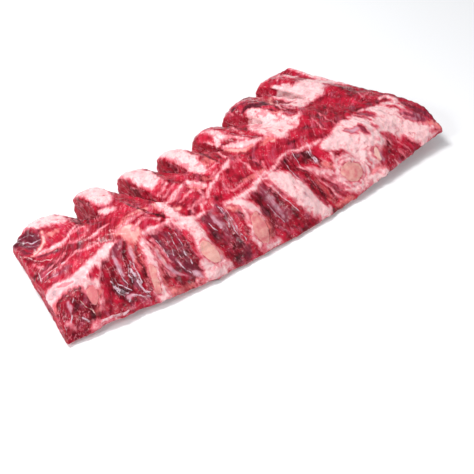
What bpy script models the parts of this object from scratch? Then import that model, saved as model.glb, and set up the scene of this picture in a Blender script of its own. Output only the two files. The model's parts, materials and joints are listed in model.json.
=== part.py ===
"""Raw rack of beef back ribs, arched and resting on its two long edges.

The meat is one body, lofted through sections that cross the rack: up the sawn front slope,
over the ridge, down the back to the rib ends and home along the hollow underside. Six notches
part the seven rib ends. The rib bones run slantwise through the meat from front to back, each
in its own channel, and each sawn end that shows is flush with the meat around it.
"""

from dataclasses import dataclass

import bmesh
import bpy
import numpy as np
from mathutils import Vector

CM = 0.01
GAP = 0.0003

# The middle of the lofted footprint; every piece is moved so that this becomes the origin.
FOOTPRINT_CENTRE = (-0.50 * CM, -0.30 * CM)

# The front rim, the feet and the walls of a section.
FRONT_RIM_HEIGHT = 0.8 * CM
FRONT_RIM_SLANT = 0.3 * CM
FRONT_FOOT_INSET = 0.6 * CM
SLOPE_BULGE = (0.0, -0.35 * CM, 0.55 * CM)
BACK_WALL_INSET = 0.25 * CM
FOOT_FLAT = 0.35 * CM
ARCH_HEIGHT = 2.1 * CM

# The upper side between ridge and back edge: share of the way back, and bulge over a straight line.
BACK_BULGES = ((0.33, 0.62), (0.66, 0.80), (0.88, 0.62))

# Waves that follow the ribs across the rack, and how far from the ridge each takes to set in.
SLOPE_RIB_RELIEF = 0.26 * CM
SLOPE_WAVE_REACH = 3.0 * CM
BACK_RIB_RELIEF = 0.38 * CM
BACK_WAVE_START = 2.0 * CM
BACK_WAVE_REACH = 5.0 * CM
BACK_WAVE_SHIFT = 0.13
UNDER_RIB_RELIEF = 0.22 * CM

# The two cut ends bow outwards by this much while the section shrinks towards its middle.
END_BOW = 0.45 * CM
END_STEPS = ((0.55, 0.90), (0.88, 0.68))
COLUMNS_PER_STATION = 12
LEVELS_PER_STATION = 4

# A notch's cutter, by its share of the way from the tip to the mouth.
NOTCH_STEPS = 7
NOTCH_OVERRUN = 1.4
NOTCH_TIP_WIDTH = 0.3
NOTCH_TIP_HEIGHT = 2.6 * CM
NOTCH_FLOOR = -1.0 * CM
NOTCH_FLOOR_FROM = 0.45
NOTCH_TOP = 7.0 * CM

# Half of a notch's cross-section: share of its half width, and height above its floor.
NOTCH_FLANK = ((0.5, 0.4 * CM), (0.85, 1.4 * CM))
NOTCH_TOP_WIDTH = 1.2

MEAT_COLOUR = (0.38, 0.018, 0.040, 1.0)
BONE_COLOUR = (0.72, 0.34, 0.26, 1.0)


@dataclass
class Station:
    """One of the eight sections that shape the rack, left end first, in centimetres.

    The front edge's height is that of its foot, and the back edge's is that of its shoulder over
    a foot at back_foot. The crown is the share of the full bulge above and arch below.
    """

    front: tuple
    ridge: tuple
    back: tuple
    back_foot: float
    crown: float


@dataclass
class Notch:
    """One cut between two rib ends, from its mouth in the back edge to its inner tip, in centimetres."""

    mouth: tuple
    tip: tuple
    half_width: float


@dataclass
class Relief:
    """One swelling, or hollow where its height is negative, of the upper side, in centimetres."""

    middle: tuple
    reach: tuple
    turn: float
    height: float


@dataclass
class Rib:
    """One rib bone by its two ends in plan and its section at each, in centimetres."""

    front: tuple
    back: tuple
    front_size: tuple
    back_size: tuple
    front_shows: bool = True
    back_shows: bool = True


# Places are measured from the middle of the footprint, with the sawn slope at the front.
STATIONS = [
    Station((-22.8, -9.0, 0.0), (-22.5, -6.3, 2.6), (-22.1, 3.6, 1.5), 0.0, 0.5),
    Station((-17.9, -9.4, 0.4), (-15.7, -4.3, 4.7), (-16.6, 3.7, 2.2), 0.0, 1.0),
    Station((-11.9, -10.1, 0.2), (-11.1, -5.1, 4.6), (-11.4, 4.1, 2.2), 0.0, 1.0),
    Station((-6.0, -10.4, 0.0), (-5.8, -5.9, 4.5), (-6.5, 4.2, 2.1), 0.0, 1.0),
    Station((0.2, -10.4, 0.0), (-0.3, -5.6, 4.5), (-2.0, 4.6, 2.1), 0.0, 1.0),
    Station((6.0, -10.1, 0.0), (4.9, -4.4, 4.7), (2.6, 5.7, 2.2), 0.0, 1.0),
    Station((12.6, -9.4, 0.5), (11.5, -4.1, 4.6), (8.7, 7.9, 2.3), 0.0, 1.0),
    Station((21.8, -8.4, 1.4), (21.6, -4.3, 3.3), (14.8, 9.7, 2.4), 0.8, 0.35),
]
STATION_COUNT = len(STATIONS)

# How far each rib end stands out past the line through the notch mouths.
RIB_END_BULGE = (0.9, 1.0, 0.8, 1.0, 0.8, 0.7, 0.4)

NOTCHES = [
    Notch((-16.5, 4.6), (-15.0, -0.2), 1.3),
    Notch((-11.4, 5.0), (-9.2, -2.2), 1.05),
    Notch((-6.5, 5.0), (-4.7, 0.5), 1.00),
    Notch((-2.0, 5.4), (0.0, 1.0), 1.00),
    Notch((2.7, 6.6), (5.8, 2.0), 1.05),
    Notch((8.7, 8.8), (12.2, 2.8), 0.90),
]

RIBS = [
    Rib((-19.3, -7.2), (-21.3, -2.4), (1.7, 1.2), (2.2, 1.1), back_shows=False),
    Rib((-13.8, -7.9), (-19.5, 4.6), (1.3, 1.5), (2.3, 1.1)),
    Rib((-8.2, -8.8), (-14.0, 5.6), (1.9, 1.3), (2.4, 1.1)),
    Rib((-2.6, -8.8), (-8.9, 5.2), (1.9, 1.6), (2.2, 1.1)),
    Rib((2.8, -7.9), (-4.3, 5.8), (1.8, 1.2), (2.2, 1.1), front_shows=False),
    Rib((9.4, -7.8), (0.3, 6.6), (2.4, 1.2), (2.3, 1.1)),
    Rib((13.2, -7.4), (5.7, 8.4), (2.0, 1.2), (2.7, 1.2)),
    Rib((17.7, 0.2), (11.6, 9.4), (2.2, 1.1), (2.8, 1.2), front_shows=False),
]

RELIEFS = [
    Relief((-20.3, -6.2), (2.6, 1.0), 20.0, 0.45),
    Relief((-16.2, -7.4), (1.5, 2.2), -20.0, -0.35),
    Relief((-19.0, 0.0), (3.4, 1.4), 25.0, -0.20),
    Relief((-12.6, -2.6), (1.8, 1.6), 0.0, 0.25),
    Relief((-3.5, -0.6), (2.2, 1.5), -30.0, 0.20),
    Relief((5.3, -5.0), (1.5, 1.1), 20.0, -0.55),
    Relief((11.4, -6.0), (3.2, 1.8), 10.0, 0.30),
    Relief((16.6, -7.6), (1.4, 1.6), 0.0, -0.30),
]

# A rib bone's ring and length, and its level as a share of the way up through the meat.
BONE_SIDES = 14
BONE_SQUARENESS = 0.8
BONE_KNOTS = 7
BONE_SECTIONS = 13
BONE_LEVEL = 0.40
BONE_SETTLES_IN = 5.0 * CM
BONE_OVERRUN = 1.8 * CM
HIDDEN_END_DEPTH = 0.5 * CM
HIDDEN_END_LEVEL = 0.50


def smooth_through(values, at):
    """Catmull-Rom curve through values at 0, 1, 2 and so on, read at each place in at."""
    values = np.asarray(values, dtype=float)
    at = np.atleast_1d(np.asarray(at, dtype=float))
    last = len(values) - 1
    start = np.clip(np.floor(at).astype(int), 0, last - 1)
    t = (at - start)[:, None]
    ends = 2 * values[:1] - values[1:2], 2 * values[-1:] - values[-2:-1]
    p0, p1, p2, p3 = (np.concatenate([ends[0], values, ends[1]])[start + k] for k in range(4))
    return catmull_rom(p0, p1, p2, p3, t)


def catmull_rom(p0, p1, p2, p3, t):
    """The point a share t of the way from p1 to p2, on the smooth curve through all four."""
    return 0.5 * (2 * p1 + (p2 - p0) * t + (2 * p0 - 5 * p1 + 4 * p2 - p3) * t ** 2
                  + (3 * p1 - p0 - 3 * p2 + p3) * t ** 3)


def station_curve(name, at):
    """One named value of the stations, in metres, read at each place in at."""
    return smooth_through([np.atleast_1d(getattr(station, name)) * CM for station in STATIONS], at)


def rib_phase(x, y):
    """How many ribs lie to the left of a place in plan; a whole number is a rib's centre line."""
    crossings = []
    for rib in RIBS:
        front, back = np.array(rib.front) * CM, np.array(rib.back) * CM
        crossings.append(front[0] + (back[0] - front[0]) * (y - front[1]) / (back[1] - front[1]))
    phase = (x - crossings[0]) / (crossings[1] - crossings[0])
    for number in range(1, len(RIBS)):
        step = crossings[number] - crossings[number - 1]
        phase = np.where(x > crossings[number - 1], number - 1 + (x - crossings[number - 1]) / step, phase)
    return phase


def rib_wave(x, y, shift=0.0):
    """1 over the middle of a rib, or to its left by a share of the pitch, and -1 between two."""
    return np.cos(2 * np.pi * (rib_phase(x, y) + shift))


# A section's control points: from RIM to WALL is the upper side, and the rest the lower.
FOOT, RIM, RIM_TOP, SLOPE, RIDGE, BACK_NEAR, BACK_FAR, SHOULDER, EDGE, WALL, WALL_FOOT = range(11)

# The underside's control points, as shares of the way from the front foot to the back foot.
UNDER_SHARES = (0.95, 0.8, 0.5, 0.2, 0.05)

# Steps from each control point to the next; both sides of the section have as many in all.
SEGMENT_STEPS = (1, 1, 3, 3, 3, 3, 2, 2, 1, 1, 1, 3, 4, 4, 3, 1)


def control_points(at):
    """The control points of each section, from the front foot over the top and back underneath."""
    front, ridge, back = (station_curve(name, at) for name in ("front", "ridge", "back"))
    front[:, 2] = np.maximum(front[:, 2], 0)
    back_foot = np.maximum(station_curve("back_foot", at), 0) * (0, 0, 1)
    crown = station_curve("crown", at) * (0, 0, 1)
    rib_end = np.clip(at.astype(int), 0, len(RIB_END_BULGE) - 1)
    bulge = np.array(RIB_END_BULGE)[rib_end] * CM
    back[:, 1] += bulge * (1 - np.abs(2 * (at - rib_end) - 1) ** 3)
    foot = front + (0, FRONT_FOOT_INSET, 0)
    wall_foot = back * (1, 1, 0) - (0, BACK_WALL_INSET, 0) + back_foot

    def over(share, raise_by):
        """A point of the upper side between the ridge and the back edge."""
        return ridge + (back - ridge) * share + crown * raise_by

    def under(share):
        """A point of the arched underside between the front foot and the back foot."""
        point = foot + (wall_foot - foot) * share
        arch = 4 * share * (1 - share)
        drop = UNDER_RIB_RELIEF * (1 + rib_wave(point[:, 0], point[:, 1])) * arch ** 0.5
        point[:, 2] += np.maximum(crown[:, 2] / CM * ARCH_HEIGHT * arch - FOOT_FLAT - drop, 0)
        return point

    return np.stack([
        foot,
        front + (0, 0, FRONT_RIM_HEIGHT * 0.4),
        front + (0, FRONT_RIM_SLANT, FRONT_RIM_HEIGHT),
        (front + ridge) / 2 + SLOPE_BULGE,
        ridge,
        *(over(share, bulge_up) for share, bulge_up in BACK_BULGES),
        back,
        (back + wall_foot) / 2 + (0, BACK_WALL_INSET, 0),
        wall_foot,
        *(under(share) for share in UNDER_SHARES),
    ], axis=1)


def rings(at):
    """Section points for each place in at, as an array of sections by ring points by x, y, z."""
    controls = control_points(at)
    count = controls.shape[1]
    columns = []
    for segment, steps in enumerate(SEGMENT_STEPS):
        corners = [controls[:, (segment + k) % count] for k in (-1, 0, 1, 2)]
        columns += [catmull_rom(*corners, step / steps) for step in range(steps)]
    return np.stack(columns, axis=1)


def upper_share():
    """1 where a ring point is on the upper side, fading to 0 at the two rims."""
    weight_at_control = np.zeros(len(SEGMENT_STEPS) + 1)
    weight_at_control[[SLOPE, RIDGE, BACK_NEAR, BACK_FAR, SHOULDER]] = 1.0
    weight_at_control[[RIM_TOP, EDGE]] = 0.3
    weights = []
    for segment, steps in enumerate(SEGMENT_STEPS):
        near, far = weight_at_control[segment:segment + 2]
        weights += [near + (far - near) * step / steps for step in range(steps)]
    return np.array(weights)


def upper_relief(points):
    """Height of the swellings of the upper side at each ring point."""
    x, y = points[:, :, 0], points[:, :, 1]
    ridge_y = points[:, sum(SEGMENT_STEPS[:RIDGE]), 1][:, None]
    slope = np.clip((ridge_y - y) / SLOPE_WAVE_REACH, 0, 1)
    back = np.clip((y - ridge_y - BACK_WAVE_START) / BACK_WAVE_REACH, 0, 1)
    height = SLOPE_RIB_RELIEF * slope * rib_wave(x, y)
    height += BACK_RIB_RELIEF * back * rib_wave(x, y, BACK_WAVE_SHIFT)
    for relief in RELIEFS:
        turn = np.radians(relief.turn)
        dx, dy = x / CM - relief.middle[0], y / CM - relief.middle[1]
        along = (dx * np.cos(turn) + dy * np.sin(turn)) / relief.reach[0]
        across = (dy * np.cos(turn) - dx * np.sin(turn)) / relief.reach[1]
        height += relief.height * CM * np.exp(-along ** 2 - across ** 2)
    return height * upper_share()


def outward_normals(points):
    """Unit normals of a grid of sections, closed around each ring."""
    along = np.gradient(points, axis=0)
    around = np.roll(points, -1, axis=1) - np.roll(points, 1, axis=1)
    normal = np.cross(along, around)
    return normal / np.maximum(np.linalg.norm(normal, axis=2, keepdims=True), 1e-9)


def end_rings(ring, direction):
    """The shrinking rings that round off a cut end, nearest the body first."""
    half = len(ring) // 2
    from_rim = np.roll(ring, -RIM, axis=0)
    upper = from_rim[:half + 1]
    lower = np.concatenate([from_rim[half:], from_rim[:1]])[::-1]
    y = ring[:, 1]
    middle = (np.interp(y, upper[:, 1], upper[:, 2]) + np.interp(y, lower[:, 1], lower[:, 2])) / 2
    made = []
    for bow, scale in END_STEPS:
        shrunk = ring.copy()
        shrunk[:, 0] += direction * END_BOW * bow
        shrunk[:, 2] = middle + (ring[:, 2] - middle) * scale
        made.append(shrunk)
    return made


def loft(name, sections, cap):
    """A closed mesh object through equal rings of points, with cap faces at both ends."""
    mesh = bmesh.new()
    rows = [[mesh.verts.new(Vector(p)) for p in ring] for ring in sections]
    for near, far in zip(rows, rows[1:]):
        for i in range(len(near)):
            mesh.faces.new((near[i - 1], near[i], far[i], far[i - 1]))
    cap(mesh, rows[0])
    cap(mesh, rows[-1])
    bmesh.ops.recalc_face_normals(mesh, faces=mesh.faces)
    bmesh.ops.triangulate(mesh, faces=[face for face in mesh.faces if len(face.verts) > 4])
    data = bpy.data.meshes.new(name)
    mesh.to_mesh(data)
    mesh.free()
    return bpy.data.objects.new(name, data)


def ladder_cap(mesh, ring):
    """Close a flat section by quads between its upper and its lower side."""
    count = len(ring)
    turned = ring[RIM:] + ring[:RIM]
    for i in range(count // 2):
        corners = (turned[i], turned[i + 1], turned[count - i - 1], turned[-i])
        mesh.faces.new(list(dict.fromkeys(corners)))


def polygon_cap(mesh, ring):
    """Close a round section by one polygon."""
    mesh.faces.new(ring)


def meat_body(name):
    """The whole meat of the rack as one closed object, before anything is cut from it."""
    at = np.linspace(0, STATION_COUNT - 1, COLUMNS_PER_STATION * (STATION_COUNT - 1) + 1)
    points = rings(at)
    points += outward_normals(points) * upper_relief(points)[:, :, None]
    points[:, :, 2] = np.maximum(points[:, :, 2], 0)
    left = end_rings(points[0], -1.0)
    right = end_rings(points[-1], 1.0)
    return loft(name, left[::-1] + list(points) + right, ladder_cap)


def notch_cutter(name, notch):
    """A boat-shaped wedge, narrow and shallow at the notch's tip and right through at its mouth."""
    tip, mouth = np.array(notch.tip) * CM, np.array(notch.mouth) * CM
    forward = (mouth - tip) / np.linalg.norm(mouth - tip)
    side = np.array([forward[1], -forward[0]])
    sections = []
    for share in np.linspace(0, NOTCH_OVERRUN, NOTCH_STEPS):
        centre = tip + (mouth - tip) * share
        half = notch.half_width * CM * (NOTCH_TIP_WIDTH + (1 - NOTCH_TIP_WIDTH) * share)
        down = min(share / NOTCH_FLOOR_FROM, 1.0)
        floor = NOTCH_TIP_HEIGHT + (NOTCH_FLOOR - NOTCH_TIP_HEIGHT) * down
        flank = [(across, floor + height) for across, height in NOTCH_FLANK] + [(NOTCH_TOP_WIDTH, NOTCH_TOP)]
        outline = [(-across, height) for across, height in flank[::-1]] + [(0.0, floor)] + flank
        sections.append([(*(centre + side * half * across), height) for across, height in outline])
    return loft(name, sections, polygon_cap)


def level_under(x, y, share):
    """The height a share of the way from the underside to the upper side at a place in plan."""
    at = np.linspace(0, STATION_COUNT - 1, LEVELS_PER_STATION * (STATION_COUNT - 1) + 1)
    heights = []
    for section in control_points(at):
        upper = section[RIM:WALL + 1]
        lower = np.concatenate([section[WALL_FOOT:], section[:RIM]])[::-1]
        top = np.interp(y, upper[:, 1], upper[:, 2])
        bottom = np.interp(y, lower[:, 1], lower[:, 2])
        along = np.interp(y, upper[:, 1], upper[:, 0])
        heights.append((along, bottom + (top - bottom) * share))
    heights = np.array(heights)
    return float(np.interp(x, heights[:, 0], heights[:, 1]))


def rib_path(rib):
    """Centre line of a rib bone through the meat, a little past each end that shows."""
    front, back = np.array(rib.front) * CM, np.array(rib.back) * CM
    length = np.linalg.norm(back - front)
    before = -BONE_OVERRUN if rib.front_shows else HIDDEN_END_DEPTH
    after = length + (BONE_OVERRUN if rib.back_shows else -HIDDEN_END_DEPTH)
    start = level_under(*front, 1.0 if rib.front_shows else HIDDEN_END_LEVEL)
    knots = []
    for distance in np.linspace(before, after, BONE_KNOTS):
        x, y = front + (back - front) * distance / length
        inside = front + (back - front) * np.clip(distance, 0, length) / length
        settled = np.clip(distance / BONE_SETTLES_IN, 0, 1)
        settled = settled ** 2 * (3 - 2 * settled)
        knots.append((x, y, start + (level_under(*inside, BONE_LEVEL) - start) * settled))
    return smooth_through(knots, np.linspace(0, BONE_KNOTS - 1, BONE_SECTIONS))


def bone_sections(rib, grow):
    """Rings of a rib bone, each a rounded oval square to the bone's centre line."""
    centres = rib_path(rib)
    tangents = np.gradient(centres, axis=0)
    tangents /= np.linalg.norm(tangents, axis=1, keepdims=True)
    centres[0] -= tangents[0] * grow
    centres[-1] += tangents[-1] * grow
    turn = np.linspace(0, 2 * np.pi, BONE_SIDES, endpoint=False)
    round_across = np.sign(np.cos(turn)) * np.abs(np.cos(turn)) ** BONE_SQUARENESS
    round_up = np.sign(np.sin(turn)) * np.abs(np.sin(turn)) ** BONE_SQUARENESS
    sizes = np.linspace(rib.front_size, rib.back_size, len(centres)) * CM
    sections = []
    for centre, tangent, size in zip(centres, tangents, sizes):
        side = np.cross(tangent, (0, 0, 1))
        side /= np.linalg.norm(side)
        rise = np.cross(side, tangent)
        half = size / 2 + grow
        sections.append(centre + np.outer(round_across * half[0], side) + np.outer(round_up * half[1], rise))
    return sections


def boolean(target, other, operation):
    """Add one exact Boolean to target and apply it to the mesh."""
    modifier = target.modifiers.new(operation.lower(), "BOOLEAN")
    modifier.operation = operation
    modifier.solver = "EXACT"
    modifier.object = other
    graph = bpy.context.evaluated_depsgraph_get()
    mesh = bpy.data.meshes.new_from_object(target.evaluated_get(graph))
    target.modifiers.clear()
    target.data = mesh


def finish_material(name, colour, roughness):
    """A plain material with the piece's colour and gloss."""
    material = bpy.data.materials.new(name)
    material.use_nodes = True
    shader = material.node_tree.nodes["Principled BSDF"]
    shader.inputs["Base Color"].default_value = colour
    shader.inputs["Roughness"].default_value = roughness
    shader.inputs["Metallic"].default_value = 0.0
    return material


def dress(piece, material):
    """Give a piece its material and smooth shading."""
    piece.data.materials.clear()
    piece.data.materials.append(material)
    piece.data.shade_smooth()


def build():
    """Make the rack in a collection of its own, with its cutters in another."""
    for old in list(bpy.data.objects):
        bpy.data.objects.remove(old, do_unlink=True)
    rack = bpy.data.collections.new("beef_rib_rack")
    cutters = bpy.data.collections.new("cutters")
    bpy.context.scene.collection.children.link(rack)
    bpy.context.scene.collection.children.link(cutters)

    meat = meat_body("rib_meat")
    rack.objects.link(meat)
    whole = meat_body("whole_rack")
    cutters.objects.link(whole)
    for number, notch in enumerate(NOTCHES, start=1):
        cutter = notch_cutter(f"notch_{number}", notch)
        cutters.objects.link(cutter)
        boolean(meat, cutter, "DIFFERENCE")
        boolean(whole, cutter, "DIFFERENCE")
    meat_material = finish_material("raw_meat", MEAT_COLOUR, 0.3)
    bone_material = finish_material("rib_bone", BONE_COLOUR, 0.45)

    for number, rib in enumerate(RIBS, start=1):
        bone = loft(f"rib_bone_{number}", bone_sections(rib, 0.0), polygon_cap)
        rack.objects.link(bone)
        boolean(bone, whole, "INTERSECT")
        dress(bone, bone_material)
        channel = loft(f"channel_{number}", bone_sections(rib, GAP), polygon_cap)
        cutters.objects.link(channel)
        boolean(meat, channel, "DIFFERENCE")
    dress(meat, meat_material)
    for piece in rack.objects:
        piece.location = (-FOOTPRINT_CENTRE[0], -FOOTPRINT_CENTRE[1], 0.0)

    for cutter in cutters.objects:
        cutter.hide_render = True
        cutter.display_type = "WIRE"


build()
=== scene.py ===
"""Looks of a raw rack of beef back ribs: its flesh, fat and sawn bones, a pale floor, light and camera.

Lengths on the mesh are metres. The paint is laid out in plan, in centimetres of the rack's own frame:
x runs along the rack, y from the sawn front slope to the rib ends at the back. Its details are noted
where the photograph shows them, in pixels, and are looked up on the CAD through the same camera.
"""

import json
import logging
import math
from dataclasses import dataclass, field, replace
from enum import Enum

import bpy
import numpy as np
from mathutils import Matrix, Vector, noise
from mathutils.bvhtree import BVHTree

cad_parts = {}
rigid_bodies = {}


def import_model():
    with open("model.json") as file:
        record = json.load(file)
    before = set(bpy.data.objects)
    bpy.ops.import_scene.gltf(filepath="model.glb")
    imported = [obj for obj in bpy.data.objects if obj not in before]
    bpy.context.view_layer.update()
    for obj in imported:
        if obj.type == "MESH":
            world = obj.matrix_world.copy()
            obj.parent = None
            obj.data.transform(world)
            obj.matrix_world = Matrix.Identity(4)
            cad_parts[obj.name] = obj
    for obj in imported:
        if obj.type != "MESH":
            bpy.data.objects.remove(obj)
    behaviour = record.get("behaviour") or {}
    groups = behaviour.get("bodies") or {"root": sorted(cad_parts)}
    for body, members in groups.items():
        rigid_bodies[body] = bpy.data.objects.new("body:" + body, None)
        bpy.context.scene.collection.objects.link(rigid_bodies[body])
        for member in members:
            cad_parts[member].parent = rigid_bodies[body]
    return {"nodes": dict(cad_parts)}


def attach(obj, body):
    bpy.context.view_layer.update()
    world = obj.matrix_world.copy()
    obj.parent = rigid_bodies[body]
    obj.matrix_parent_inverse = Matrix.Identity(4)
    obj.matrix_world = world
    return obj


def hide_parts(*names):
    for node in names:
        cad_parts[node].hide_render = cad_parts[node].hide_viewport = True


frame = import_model()

LOG = logging.getLogger("rib_rack")
CM = 0.01
MM = 0.001
TINY = 1e-9
# Blender's noise vectors differ from run to run where no seed is set.
SEED = 1
# Inputs of the flesh shader, each of which reads the painted attribute of its name in small letters.
PAINTED = ("Tone", "Membrane", "Peach", "Fat", "Film_and_highlight", "Line", "Cream", "Marrow", "Wall")
Pair = tuple[float, float]
Triple = tuple[float, float, float]
Spot = Triple
Rgba = tuple[float, float, float, float]
Stops = tuple[tuple[float, Rgba], ...]
Socket = bpy.types.NodeSocket

# The photograph's camera: where it stands and looks, its lens and sensor in millimetres, the width of
# its picture in pixels, and the centimetres that one pixel spans on the rack.
EYE = (-0.3347, -0.4934, 0.5802)
AIM = (-0.0325, -0.0650, 0.0)
LENS = 60.9
SENSOR = 36.0
PICTURE = 474
PIXEL = 0.098


class Tissue(Enum):
    """What a stroke of paint stands for, in the order in which the shader lays them."""

    MUSCLE = "muscle"
    MEMBRANE = "membrane"
    PEACH = "peach"
    FAT = "fat"
    # Thin pale lines of membrane and seams of fat, which also stand for painted highlights of the wet
    # surface.
    FILM_AND_HIGHLIGHT = "film_and_highlight"
    MARROW = "marrow"


# What a stroke of one tissue pushes back where it is laid. Films push nothing back.
COVERS: dict[Tissue, tuple[Tissue, ...]] = {
    Tissue.MUSCLE: (Tissue.FAT, Tissue.PEACH, Tissue.MEMBRANE, Tissue.FILM_AND_HIGHLIGHT),
    Tissue.MEMBRANE: (Tissue.FAT, Tissue.PEACH, Tissue.FILM_AND_HIGHLIGHT),
    Tissue.PEACH: (Tissue.MEMBRANE, Tissue.FILM_AND_HIGHLIGHT),
    Tissue.FAT: (Tissue.PEACH, Tissue.MEMBRANE, Tissue.FILM_AND_HIGHLIGHT),
    Tissue.MARROW: (Tissue.FAT, Tissue.PEACH, Tissue.MEMBRANE, Tissue.FILM_AND_HIGHLIGHT),
}


@dataclass(frozen=True)
class Stroke:
    """One brush stroke of a tissue along a smooth path.

    Spots are (x, y, half width) in plan centimetres, or (across, down, half width) in pixels of the
    photograph until they are looked up. Tone runs from -1 to 1 within the tissue's own colours, and lift
    is how far the stroke stands above the flesh, in millimetres.
    """

    tissue: Tissue
    spots: tuple[Spot, ...]
    tone: float = 0.0
    lift: float = 0.0


def meat(*spots: Spot, tone: float = 0.0, lift: float = 0.0) -> Stroke:
    """A stroke of red muscle, from maroon at -1 to bright at 1."""
    return Stroke(Tissue.MUSCLE, spots, tone, lift)


def hollow(*spots: Spot, tone: float = -0.5, lift: float = -1.3) -> Stroke:
    """A stroke of muscle that lies deeper than what is round it, darkened by default as painted shade."""
    return Stroke(Tissue.MUSCLE, spots, tone, lift)


def fat(*spots: Spot, tone: float = 0.0, lift: float = 0.8) -> Stroke:
    """A stroke of fat, from grey beige at -1 over white to pink at 1."""
    return Stroke(Tissue.FAT, spots, tone, lift)


def peach(*spots: Spot, tone: float = 0.0, lift: float = 0.1) -> Stroke:
    """A stroke of stained fat, from orange red at -1 over salmon to cream at 1."""
    return Stroke(Tissue.PEACH, spots, tone, lift)


def membrane(*spots: Spot, tone: float = 0.0, lift: float = 0.0) -> Stroke:
    """A stroke of muscle under a thin sheet, from purple at -1 to lavender grey at 1; its lightest tones
    also serve as painted sheen in places.
    """
    return Stroke(Tissue.MEMBRANE, spots, tone, lift)


def film_and_highlight(*spots: Spot, tone: float = 0.0, lift: float = 0.3) -> Stroke:
    """A thin pale line, partly membrane or connective tissue and partly a painted highlight of the wet
    surface.
    """
    return Stroke(Tissue.FILM_AND_HIGHLIGHT, spots, tone, lift)


def seam(*spots: Spot, tone: float = 1.0, lift: float = 0.2) -> Stroke:
    """A thin cream line of fat."""
    return Stroke(Tissue.FILM_AND_HIGHLIGHT, spots, tone, lift)


def marrow(*spots: Spot, tone: float = 0.0, lift: float = -0.2) -> Stroke:
    """The sawn inside of a bone."""
    return Stroke(Tissue.MARROW, spots, tone, lift)


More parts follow.
